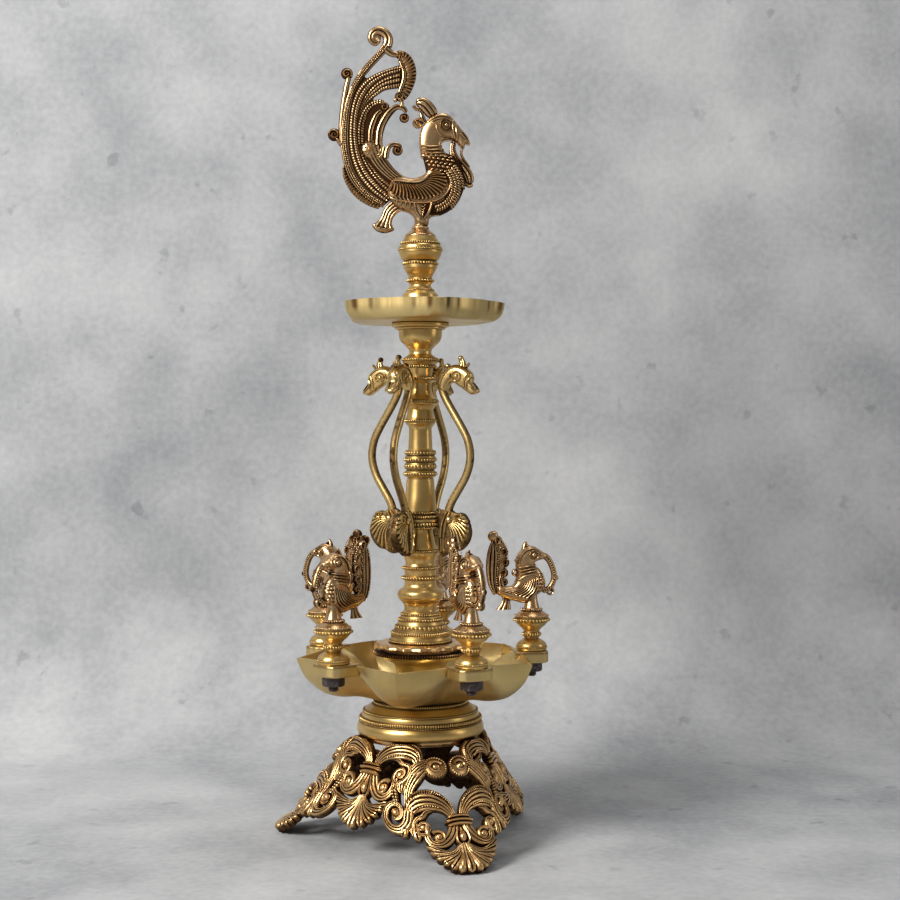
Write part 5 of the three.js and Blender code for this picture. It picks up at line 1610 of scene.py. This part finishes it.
def bird_parts():
    """The body, the plume with its curls, the tail feathers, the garland and the marks on them all."""
    body = Cushion(BIRD_BODY, 2.2, 4.6, 9)
    yield body.part(1.2)
    front, rear = (spread(edge, 44) for edge in (PLUME_FRONT, PLUME_REAR))
    yield ribbon((mix(front, rear, 0.5), rear), 3, 3.0, 1.6)
    yield ribbon((mix(front, rear, 0.14), mix(front, rear, 0.58)), 1, 1.8, 0.5)
    for x, z, reach, start in ((-22.6, 55.2, 2.5, 200), (-23, 62.6, 3.1, 190), (-22.2, 71, 3.3, 180),
                               (-23, 79.4, 3.2, 150)):
        yield from curl((x, z), start, reach, -1.3, 1.9, 3.1)
    for k in range(5):
        foot = (-28.4 - 0.3 * k, 58 + 6.4 * k)
        yield strand([foot, (foot[0] + 2.4, foot[1] + 3.6), (foot[0] + 3.4, foot[1] + 7.4)],
                     (1.6, 2.4, 1.8), 12, 2, 1, 2.7, 1.0)
    yield from curl((-28.6, 88.4), 100, 3.6, -1.3, 2.4, 3.3)
    yield boss((-31.6, 92.2), 4.4, 3.0)
    yield coil((-31.6, 92.2), 60, 3.5, 1.2, 26, 1.2, (2.4, 1.6), 1, 3.5, 0.9)
    stem = [(-22, 49), (-25.6, 54), (-25.2, 60), (-22.6, 62)]
    yield strand(stem, (4, 4.6, 3.8, 3), 20, 1, 2, 3.2, 1.0)
    hanging = ((-24, 45), (-17.6, 44)), ((-24.8, 39), (-17.4, 38)), ((-29.4, 33), (-17, 33))
    yield ribbon(rails(*hanging, count=16), 3, 2.4, 1.2)
    yield strand(GARLAND, (5.6, 5.2, 4.9, 4.8, 4.8, 4.8, 4.8, 4.6), 54, 2, 2, 2.8, 1.2)
    yield boss((20.0, 58.2), 2.3, 2.4)
    yield coil((14.8, 47.2), 80, 3.4, -1.2, 24, 1.0, (2.4, 1.6), 1, 2.6, 0.7)
    yield strand([(-6.4, 81), (-5.8, 85), (-4, 88)], (4.4, 3.4, 1.8), 14, 1, 1, 2.4, 0.6)
    loop = [(-13, 60.4), (-15.4, 62), (-14.8, 64.6), (-12.6, 65)]
    yield strand(loop, (2.2, 2.2, 2, 1.8), 14, 1, 1, 1.8, 0.5)
    for k in range(9):
        start = (4.8 - 1.7 * k, 60 - 0.7 * k)
        end = (-3.6 - 3.0 * k, 40.6 + 1.1 * k)
        bend = ((start[0] + end[0]) / 2 + 2.6, (start[1] + end[1]) / 2 - 1.6)
        feather = strand([start, bend, end], (1.4, 2.4, 2.3), 18, 2, 1, 2.0, 1.5, -1.4)
        yield from draped(body, feather, 0.35)
    wing_top = [(5.6, 59), (0, 62), (-7, 60.2), (-13, 56)]
    yield from draped(body, strand(wing_top, (1.8, 2.4, 2.4, 1.8), 22, 2, 1, 1.4, 0.7, -1.4), 0.3)
    for row in range(6):
        height = 46.6 + 2.9 * row
        for x in np.arange(2.6 + 0.4 * row + 1.1 * (row % 2), 10.6 - 0.1 * row, 2.3):
            if body.distance(np.array([[x, height]]))[0] > 0.7:
                yield from draped(body, boss((x, height), 1.35, 1.3, -1, LOW_DOME, 8), 0.1)
    for height, slope in ((63.4, 1.6), (65.8, 1.4), (68.2, 1.0)):
        line = [(-12.4, height - slope), (-5, height), (3.4, height + slope)]
        yield from draped(body, strand(line, (1.8, 2.0, 1.8), 18, 2, 1, 1.7, 1.0, -1.2), 0.15)
    yield from draped(body, boss((0.8, 77.4), 1.9, 1.9, -1, count=12), 0.1)
    ring = coil((0.8, 77.4), 0, 3.5, 1.0, 20, 3.5, (1.3, 1.3), 1, 1.3, 0.8, -1)
    yield from draped(body, ring, 0.15)
    brow = [(-11.8, 70), (-9.4, 77), (-4.6, 81.6), (0.8, 82.4), (5.4, 80)]
    yield from draped(body, strand(brow, (1.8, 2.2, 2.2, 2.0, 1.4), 30, 2, 1, 1.6, 1.0, -1.2), 0.1)
    cheek = [(5.6, 80.6), (6.6, 77), (5.6, 73.4)]
    yield from draped(body, strand(cheek, (1.2, 1.6, 1.2), 12, 2, 1, 1.0, 0.5, -1), 0.2)
    for k in range(6):
        yield boss((-13.0 + 1.3 * k + 0.12 * k * k, 72.4 + 2.4 * k), 1.25, 2.9, count=10)


figure = list(bird_parts())
POST = [[(13.2, 175), (13.5, 175.6), (13.2, 176.4), (10.6, 178.6), (8.4, 180)],
        [(7.9, 180.3), (8.1, 181.1), (7.2, 181.8)], [(6.5, 182.2), (5.4, 186), (4.6, 190), (4.5, 196)]]
POST_RINGS = [(13.2, 176, (0.6, 0.8, 0.8)), (8.0, 181, FINE_BEAD)]
post_line = profile_of(POST)
garland_line = spread(GARLAND[1:], 50)
front, rear = (spread(edge, 50)[4:-2] for edge in (PLUME_FRONT, PLUME_REAR))
plume_lines = [mix(front, rear, share) for share in (0.1, 0.5, 0.9)]
for k, angle in enumerate(EAR_ANGLES, 1):
    node = f"bird_figure_{k}"
    bird = Form()
    for points, faces, groove in figure:
        bird.add(placed(upright(points), angle, EAR_AXIS, EAR_TOP), faces, groove)
    centre = placed(np.zeros((1, 3)), angle, EAR_AXIS)[0, :2]
    bird.add(*pivot(post_line, 175, 196.4, 185, 184.4, 32, centre))
    lines = [placed(line, angle, EAR_AXIS, EAR_TOP)
             for line in on_both_faces((garland_line, 2.4), *((line, 2.0) for line in plume_lines))]
    mesh = with_beads(bird.mesh(node, "dark_cast_brass", CAST_CREASE),
                      bead_mesh(lines, 1.9, 0.72, "dark_cast_brass"))
    mesh = knurled(mesh, "dark_cast_brass", POST_RINGS, centre)
    piece(node + "_cast", mesh, f"bird_{k}", "antique_brass", node)

# %% [markdown]
# ## Peacock finial
# The finial is a flat casting in the plane of the picture: a peacock that faces right with its tail
# swept up and over its back. The body, neck and head are cushions; the tail is a few broad ridged
# bands that lie against each other, so its lines are their shared edges. A modeller in clay would
# lay coils in the same way. It turns on the vase as one piece.

# %% Cushions of the body, neck and head, drawn across from the axis and up from the ground
PEACOCK_BODY = [
    (-4.2, 489), (-5.2, 495.2), (-9, 499), (-14.6, 500.8), (-20, 505), (-25, 510.4), (-26, 517.4),
    (-22, 525), (-14.6, 527.6), (-7.6, 526.4), (-0.6, 527.6), (4.2, 530.8), (3.8, 536), (2.4, 541.8),
    (1.4, 546.4), (12, 549), (24, 545), (30, 541.8), (33, 538), (34, 531.2), (35.8, 524.2), (34, 516),
    (30, 507.8), (23.6, 501.4), (16, 497.4), (10, 496.4), (7, 494.2), (5.6, 489),
]
PEACOCK_HEAD = [
    (0.6, 543), (-0.9, 552), (-0.9, 559.4), (0.6, 565.2), (4.1, 571.1), (10, 575.8), (17, 578.2),
    (22.8, 576.8), (27.4, 572.3), (32, 566.4), (36.6, 560.5), (39.8, 554.3), (38, 553.2), (35.8, 554),
    (35, 550.6), (31.7, 551.8), (28.2, 555.8), (24.7, 556.8), (19.4, 556.2), (17, 554.4), (17.6, 550),
    (21.4, 545), (22, 541.4), (11.2, 540),
]
BREAST = np.array([9.0, 519.0])
body = Cushion(PEACOCK_BODY, 3.0, 4.6, 12)
head = Cushion(PEACOCK_HEAD, 3.2, 4.0, 8)
SHOULDER = [(-21.6, 524), (-15.4, 523.6), (-8, 522.6), (-1, 523), (4.2, 525.4), (7.6, 529.6)]
WING_EDGE = [(-25, 515.6), (-20.6, 512), (-14.4, 510.2), (-7, 509), (0, 508.6), (7, 509), (14.6, 511.8),
             (20, 516.6), (21.8, 522.6), (19.6, 528.6), (13.8, 532)]


def breast_shade(points):
    """A dark ground under the feathers of the breast and neck."""
    far = np.hypot(points[:, 0] - BREAST[0], points[:, 1] - BREAST[1])
    return np.where((far > 13.6) & (points[:, 0] > 1.5) & (points[:, 1] > 497), 0.85, 0.2)


def wing_parts():
    """Feathers that fan from the shoulder to the wing's edge, inside a raised rim."""
    for start, end in zip(spread(SHOULDER, 22), spread(WING_EDGE, 22)):
        away = end - start
        bend = start + away * 0.5 + np.array([away[1], -away[0]]) * -0.07
        feather = strand([start, bend, end], (1.0, 2.2, 2.9), 18, 2, 1, 2.4, 2.0, -1.8)
        yield from draped(body, feather, 0.3)
    rim = [(-25.4, 511.6), (-20.4, 509), (-10, 507), (0, 506.4), (8.6, 507), (17, 510.4), (22.6, 516.6),
           (24, 523.6), (21.4, 530.6)]
    yield from draped(body, strand(rim, (1.6, 2.0, 2.2, 2.2, 1.6), 60, 2, 1, 1.7, 0.9, -1.4), 0.2)
    yield from draped(body, strand(SHOULDER, (1.6, 2.4, 2.6, 2.2, 1.6), 40, 2, 1, 2.6, 0.9, -1.4), 0.1)


def breast_parts():
    """Rows of lapped feathers on the breast, each a drawn-out drop, and hatching under the neck."""
    for row, (reach, count) in enumerate(((16.6, 17), (19.4, 20), (22.2, 22), (25, 24))):
        for step in range(count):
            turn = math.radians(-78 + (118 / (count - 1)) * step + 2.2 * (row % 2))
            spot = BREAST + reach * np.array([math.cos(turn), 0.98 * math.sin(turn)])
            if body.distance(spot[None, :])[0] < 1.0:
                continue
            drop = boss(spot, 2.0, 1.7, -1, LOW_DOME, 8, 0.5, math.degrees(turn) - 34)
            yield from draped(body, drop, 0.2)
    for row in range(5):
        height = 545.4 - 3.0 * row
        for step in range(6):
            spot = np.array([5.4 + 3.7 * step + 1.8 * (row % 2), height - 0.55 * step])
            if body.distance(spot[None, :])[0] < 1.2:
                continue
            drop = boss(spot, 2.0, 1.6, -1, LOW_DOME, 8, 0.5, 18 - 36 * (row % 2))
            yield from draped(body, drop, 0.2)
    for k in range(4):
        drop = 2.4 * k
        line = [(-1.4 + 1.0 * k, 505.4 - drop), (1.8, 503 - drop), (5 - 1.0 * k, 505.4 - drop)]
        yield from draped(body, strand(line, (1.3, 1.7, 1.3), 12, 2, 1, 1.4, 0.8, -1.2), 0.2)
    for side in (-1, 1):
        line = [(1.8 + side * 7.0, 506.4), (1.8 + side * 5.4, 500), (1.8 + side * 1.4, 493.6)]
        yield from draped(body, strand(line, (2.4, 2.8, 2.2), 20, 1, 1, 2.0, 0.8, -1.2), 0.1)
    for k in range(4):
        line = [(-21 + 3.6 * k, 512.6 - 0.9 * k), (-18.4 + 3.4 * k, 508.8 - 0.9 * k),
                (-20 + 3.8 * k, 504.6 - 1.0 * k)]
        yield from draped(body, strand(line, (1.8, 2.6, 2.0), 16, 2, 1, 1.7, 0.9, -1.2), 0.2)


def head_parts():
    """Folds of the neck, the ringed eye and the lines of the bill and cheek."""
    for k in range(4):
        left, right = (-0.6 + 0.3 * k, 551.6 - 2.5 * k), (17.4 + 1.5 * k, 552.0 - 2.7 * k)
        middle = ((left[0] + right[0]) / 2, (left[1] + right[1]) / 2 - 0.9)
        fold = strand([left, middle, right], (1.9, 2.3, 1.9), 26, 2, 1, 1.7, 1.0, -1.4)
        yield from draped(head, fold, 0.15)
    yield from draped(head, boss((20.6, 567.8), 1.6, 1.9, -1.2, count=14), 0.1)
    for reach, width in ((3.0, 1.2), (4.7, 1.0)):
        ring = coil((20.6, 567.8), 0, reach, 1.0, 30, reach, (width, width), 1, 1.3, 0.7, -1.2)
        yield from draped(head, ring, 0.2)
    for line, widths in (
            ([(26.6, 573), (25.6, 566), (27.6, 557)], (1.6, 2.2, 1.6)),
            ([(29.2, 570), (28.4, 564), (30.4, 554.6)], (1.6, 2.2, 1.6)),
            ([(31.4, 561.6), (35.4, 557.6), (38.8, 554.6)], (1.2, 1.6, 1.0)),
            ([(33.6, 563.4), (36.4, 560), (38.8, 556)], (1.2, 1.6, 1.0)),
            ([(12.4, 569.4), (13.4, 563.4), (17.8, 559), (25, 558.6)], (1.4, 2.2, 2.2, 1.4)),
            ([(4.4, 569.6), (9.6, 573.6), (16.6, 575.8), (24, 574.2)], (1.6, 2.2, 2.2, 1.4)),
            ([(9.4, 570.6), (14.4, 573), (20, 573.4)], (1.2, 1.5, 1.0))):
        yield from draped(head, strand(line, widths, 22, 2, 1, 1.5, 0.8, -1.2), 0.2)


def crest_and_garland():
    """What stands free of the head: the crest, its curl, and the garland in the beak."""
    yield strand([(11, 575), (8.2, 580), (4.4, 584.4), (0, 586.6), (-3.6, 586)],
                 (9.6, 10.4, 10.8, 10.4, 8.6), 36, 2, 3, 3.6, 1.2)
    for k in range(4):
        yield boss((-5 + 1.6 * k, 582.4 - 0.5 * k + (k == 0) * 1.2), 1.5, 2.6, count=12)
    yield strand([(3.4, 571), (1.4, 575.6), (0.6, 579.6)], (4, 4.2, 3.2), 18, 1, 2, 2.9, 0.9)
    yield boss((-2.1, 570.4), 4.2, 2.0)
    yield coil((-2.1, 570.4), 10, 3.7, 1.5, 34, 0.7, (2.3, 1.4), 1, 3.2, 0.9)
    garland = [(26.6, 556.4), (25.6, 550), (27.2, 543.6), (31.6, 538), (36, 532.6), (38.9, 527),
               (39.2, 521.8)]
    yield strand(garland, (4.4, 5.2, 6.8, 8.0, 8.6, 8.2, 6.0), 60, 2, 3, 3.6, 1.2)
    yield strand([(34, 524), (38.6, 520.6), (42, 521.8)], (2.6, 3.0, 2.4), 18, 2, 1, 2.9, 0.8)
    cord = [(33.6, 551), (32.6, 546.4), (35, 541.4), (39.4, 535.6)]
    yield strand(cord, (2.2, 2.2, 2.2, 1.8), 30, 2, 1, 2.6, 0.7)


# %% Tail: contours from its outer edge inwards, each from its root to its end
OUTER = [
    (-29.9, 503.1), (-41.6, 509.5), (-52.2, 519.5), (-58.6, 530), (-62.3, 543), (-63.8, 554.7),
    (-63.4, 566.4), (-61.6, 578.1), (-59, 589.9), (-54.6, 601.6), (-48.6, 611.6), (-41.2, 620.2),
    (-34.4, 627.2), (-30.3, 632.7),
]
SECOND = [
    (-28, 507.4), (-39.3, 515.4), (-48.1, 525.4), (-53.3, 535.9), (-56.3, 547.6), (-57.2, 559.4),
    (-56.8, 569.9), (-55.4, 581.7), (-52.6, 592.2), (-48, 602.2), (-41, 611.4), (-33.4, 619.8),
    (-27, 626.8), (-22.8, 632.7),
]
PLUME_TOP = SECOND[:9] + [(-48.2, 600.2), (-41.6, 606.4), (-33.4, 610.8), (-25.2, 614), (-15.6, 616.6)]
THIRD = [(-23.6, 512.6), (-33.4, 521.8), (-41, 531.2), (-46.3, 541.8), (-48.9, 552.3), (-50.1, 564.1),
         (-49.4, 575.8), (-46.7, 586), (-42, 595), (-35, 602.6), (-26.4, 607.6), (-16.4, 610.8)]
PLUME_FOOT = [(-47.4, 574.6), (-44.4, 582.4), (-40, 588), (-34.4, 592.4), (-28, 596.4), (-17, 598.3)]
INNER = [(-18.5, 518.6), (-28.7, 526), (-36.3, 534), (-41.6, 541), (-45.2, 547.4)]
ROOT_TOP = [
    (-30.1, 554.7), (-29.2, 547.6), (-25.8, 540.6), (-20.5, 533.6), (-13.5, 528.6), (-6.8, 526.6),
]
ROOT_FOOT = [(-43, 546.4), (-38.6, 538.8), (-32.4, 531.6), (-25.4, 525.8), (-18, 520.6), (-11.1, 517)]


def between(first, second, count, ridges, crown, cut, notch=None):
    """A band that fills the space between two contours."""
    return ribbon((spread(first, count), spread(second, count)), ridges, crown, cut, notch=notch,
                  least=0.7)


# A dark sheet behind the bands, painted as the shade seen in the gaps between them.
TAIL_SHADE_SHEET = [
    (-29, 505), (-40.5, 511.5), (-50.5, 521.6), (-56.6, 532), (-60, 544), (-61.2, 555), (-60.8, 566),
    (-59.4, 578), (-56.8, 590), (-52.2, 601.4), (-46.6, 609.8), (-42.4, 606), (-34, 610), (-25, 613.4),
    (-15.8, 616), (-14.4, 606), (-17, 599.2), (-28, 597.2), (-34.6, 593.4), (-37.4, 588.8),
    (-32, 587.6), (-27, 586.6), (-24.4, 581.6), (-21, 583.6), (-15.6, 584.2), (-21.4, 578.4),
    (-27, 570), (-29.8, 561), (-30.4, 551), (-28.6, 545), (-25, 539.6), (-19.6, 533), (-13, 528),
    (-7, 525), (-11, 518), (-19, 513),
]


def tail_parts():
    """The tail's bands on a dark sheet of painted shade, with its curls, its rosette and its fringe."""
    yield Cushion(TAIL_SHADE_SHEET, 0.9, 0.1, 2).part(2.4, even_shade(0.9))
    yield between(OUTER, SECOND, 150, 4, 3.1, 1.3)
    tip = [(-26.5, 631.6), (-25.6, 637.4), (-28.6, 642.2), (-33.8, 644), (-38, 641.6), (-39, 636.9),
           (-36, 633.9), (-33.2, 636), (-35.2, 638.4)]
    yield strand(tip, (8.2, 8.0, 7.8, 7.4, 7.0, 6.4, 5.2, 3.8, 2.6), 84, 1, 2, 3.3, 1.2)
    yield boss((-34.8, 638.4), 3.6, 1.0)
    yield between(PLUME_TOP, THIRD, 140, 2, 3.5, 1.3, (2.1, 0.6))
    yield between(THIRD[:5], INNER, 70, 2, 3.2, 1.4, (2.2, 0.9))
    yield between(THIRD[6:], PLUME_FOOT, 70, 3, 3.2, 1.4, (2.2, 0.8))
    yield between(ROOT_TOP, ROOT_FOOT, 60, 5, 3.2, 1.8)
    yield strand([(-36.2, 542.4), (-31.6, 545.6), (-30, 551.6)], (4, 6, 4), 20, 0, 2, 2.6, 1.0)
    coil_stem = [(-47.4, 553.6), (-47.4, 565.2), (-46, 573.4), (-43, 580.5), (-38.1, 585.4),
                 (-32.8, 587.4), (-28.6, 586.4)]
    yield strand(coil_stem, (5.6, 5.8, 5.6, 5.4, 5.0, 4.6, 3.8), 80, 1, 2, 3.1, 1.3, notch=(2.1, 0.8))
    yield from curl((-28.7, 583.4), 100, 3.2, -1.4)
    yield strand([(-40, 555.6), (-39.6, 564), (-37.4, 571.4), (-34.4, 577.4), (-30.6, 580.6)],
                 (4.2, 4.6, 4.8, 4.4, 3.6), 44, 1, 2, 2.9, 1.3)
    inner_stem = [(-33.4, 553), (-32.6, 564), (-29.2, 572.8), (-24.6, 579.5), (-18.9, 583.4),
                  (-13.7, 582.6), (-10.9, 579)]
    yield strand(inner_stem, (6.2, 6.4, 6.0, 5.4, 5.0, 4.6, 3.6), 80, 1, 2, 3.2, 1.3)
    yield from curl((-12.8, 574.6), 20, 3.1, -1.4)
    yield strand([(-27.4, 543), (-26.4, 548.8), (-24, 552.6), (-19.2, 553.8), (-14.8, 551.6)],
                 (4.6, 4.4, 3.8, 3.4, 3.0), 44, 1, 2, 2.9, 0.9)
    yield from curl((-18.2, 548.8), 30, 3.4, -1.4)
    outer_stem = [(-63.4, 557), (-63.2, 568.8), (-62, 580.5), (-60.2, 592.2), (-58.4, 601.6),
                  (-56.6, 607.4)]
    yield strand(outer_stem, (3.0, 3.8, 4.2, 4.4, 4.6, 4.2), 80, 1, 1, 3.0, 0.9)
    yield from curl((-58.4, 609.6), -40, 4.0, 1.6)
    yield from curl((-68.6, 561.1), 170, 4.3, -1.6)
    yield strand([(-62.8, 553), (-65.4, 556.6), (-67.4, 558.6)], (3.6, 3.4, 2.6), 14, 1, 1, 2.8, 0.8)
    rosette = np.array([-39.8, 549.4])
    yield boss(rosette, 7.6, 2.6)
    yield boss(rosette, 2.3, 4.1, count=14)
    for reach, count in ((4.2, 9), (6.7, 15)):
        for turn in TURN * np.arange(count) / count:
            spot = rosette + reach * np.array([math.cos(turn), math.sin(turn)])
            yield boss(spot, 1.15, 3.5 - reach * 0.1, count=8)
    fringe = [(-62.2, 535.4), (-61, 526), (-55.9, 516.4), (-48.8, 509.2), (-40.6, 504.4), (-33.6, 502)]
    edge = spread([(-60.4, 537), (-57.4, 527.4), (-50.6, 518), (-41, 509.8), (-31, 504.6)], 60)
    outside = spread(fringe, 60)
    yield ribbon((outside, edge), 1, 2.0, 0.6)
    for near, far in zip(edge[2:58:3], outside[2:58:3]):
        yield strand([near, (near + far) / 2, far], (1.5, 1.9, 1.9), 8, 1, 1, 2.9, 0.8)


def fan_parts():
    """The small fan that hangs from the tail's tip."""
    outer = [(-17, 628.6), (-11.1, 627.1), (-5.8, 621.5), (-3.1, 613.3), (-3.5, 605.1), (-6.4, 596.9),
             (-10.5, 590.5), (-14.4, 587.7)]
    inner = [(-17.4, 620.5), (-15.4, 616.4), (-13.7, 611), (-13.9, 603.9), (-15.6, 597.5), (-17, 592.2)]
    outside, inside = spread(outer, 80), spread(inner, 80)
    yield ribbon((mix(outside, inside, 0.02), inside), 1, 1.8, 0.5)
    for k in range(17):
        near, far = (edge[2 + int(k * 75 / 16)] for edge in (inside, outside))
        yield strand([near, (near + far) / 2, far], (1.4, 2.0, 2.7), 12, 1, 1, 3.2, 1.3)
    hem = [(-16.4, 620.4), (-14.6, 616), (-13, 610.6), (-13.4, 604), (-15.6, 597.6), (-17, 593.4)]
    yield strand(hem, (3.2, 3.6, 3.8, 3.8, 3.6, 3.2), 50, 2, 2, 3.3, 1.1)
    yield from curl((-16.4, 624.9), -30, 2.7, 1.4, 2.2)
    yield strand([(-27, 629), (-22.4, 625.6), (-18, 625)], (6.4, 5.4, 4.4), 18, 0, 2, 2.9, 1.0)
    yield from curl((-16.6, 591.6), 40, 2.9, -1.4, 2.3)
    yield boss((-19.8, 588.8), 1.7, 2.6, count=12)
    yield strand([(-16, 589.4), (-14.6, 586.4), (-15.4, 583.6)], (3.4, 3.0, 3.4), 12, 0, 1, 2.5, 0.6)


def feather_parts():
    """The short tail feathers under the body."""
    left = [(-15, 512.4), (-23.4, 508.4), (-28.9, 502.5), (-31.8, 495.6), (-37.2, 489.4)]
    right = [(-9.9, 501.4), (-16.6, 500), (-21.4, 495.6), (-22.8, 490.4), (-21, 485.8)]
    yield between(left, right, 50, 4, 3.1, 1.3)
    tip = [(-37.4, 490.8), (-34.6, 487), (-28.8, 485.2), (-20.8, 486.6)]
    yield strand(tip, (3.0, 4.6, 4.6, 3.0), 30, 2, 1, 3.0, 0.9)
    for k in range(4):
        yield boss((-34.2 + 3.6 * k, 487.4 - 0.9 * k + 0.5 * k * k), 1.2, 3.4, count=10)


# %% The whole finial, its foot and its beads
peacock = Form()
for points, faces, groove in [
        body.part(1.3, breast_shade), head.part(1.1), *wing_parts(), *breast_parts(), *head_parts(),
        *crest_and_garland(), *tail_parts(), *fan_parts(), *feather_parts()]:
    peacock.add(upright(points), faces, groove)
FOOT = [[(12.4, 480), (12.2, 481.4), (9.6, 483.4), (7.2, 485.6)],
        [(6.6, 486), (7.0, 487.2), (6.4, 488.2)], [(5.6, 488.6), (4.9, 491), (4.6, 495.4)]]
peacock.add(*pivot(profile_of(FOOT), 480, 496, 490.4, 489.6, 48))
outer, second = (spread(edge, 120)[2:116] for edge in (OUTER, SECOND))
garland = [(26.6, 555), (25.8, 550), (27.4, 543.8), (31.8, 538), (36.2, 532.6), (38.9, 527)]
lines = on_both_faces((mix(outer, second, 0.38), 2.7), (mix(outer, second, 0.62), 2.7),
                      (spread(garland, 60), 3.0))
mesh = with_beads(peacock.mesh("peacock_finial", "dark_cast_brass", CAST_CREASE),
                  bead_mesh(lines, 1.7, 0.78, "dark_cast_brass"))
piece("peacock_cast", mesh, "finial", "antique_brass", "peacock_finial")

# %% [markdown]
# ## Size, and the end of the script
# Both boxes, the CAD one and the dressed one, are printed side by side.

# %% The CAD box and the dressed box
dressed_corners = [list(corner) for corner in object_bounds()]
print("triangles in all:", sum(made_pieces.values()))
for label, (low, high) in (("cad", cad_corners), ("visual", dressed_corners)):
    print(label, [round((b - a) / MM, 1) for a, b in zip(low, high)], "mm")
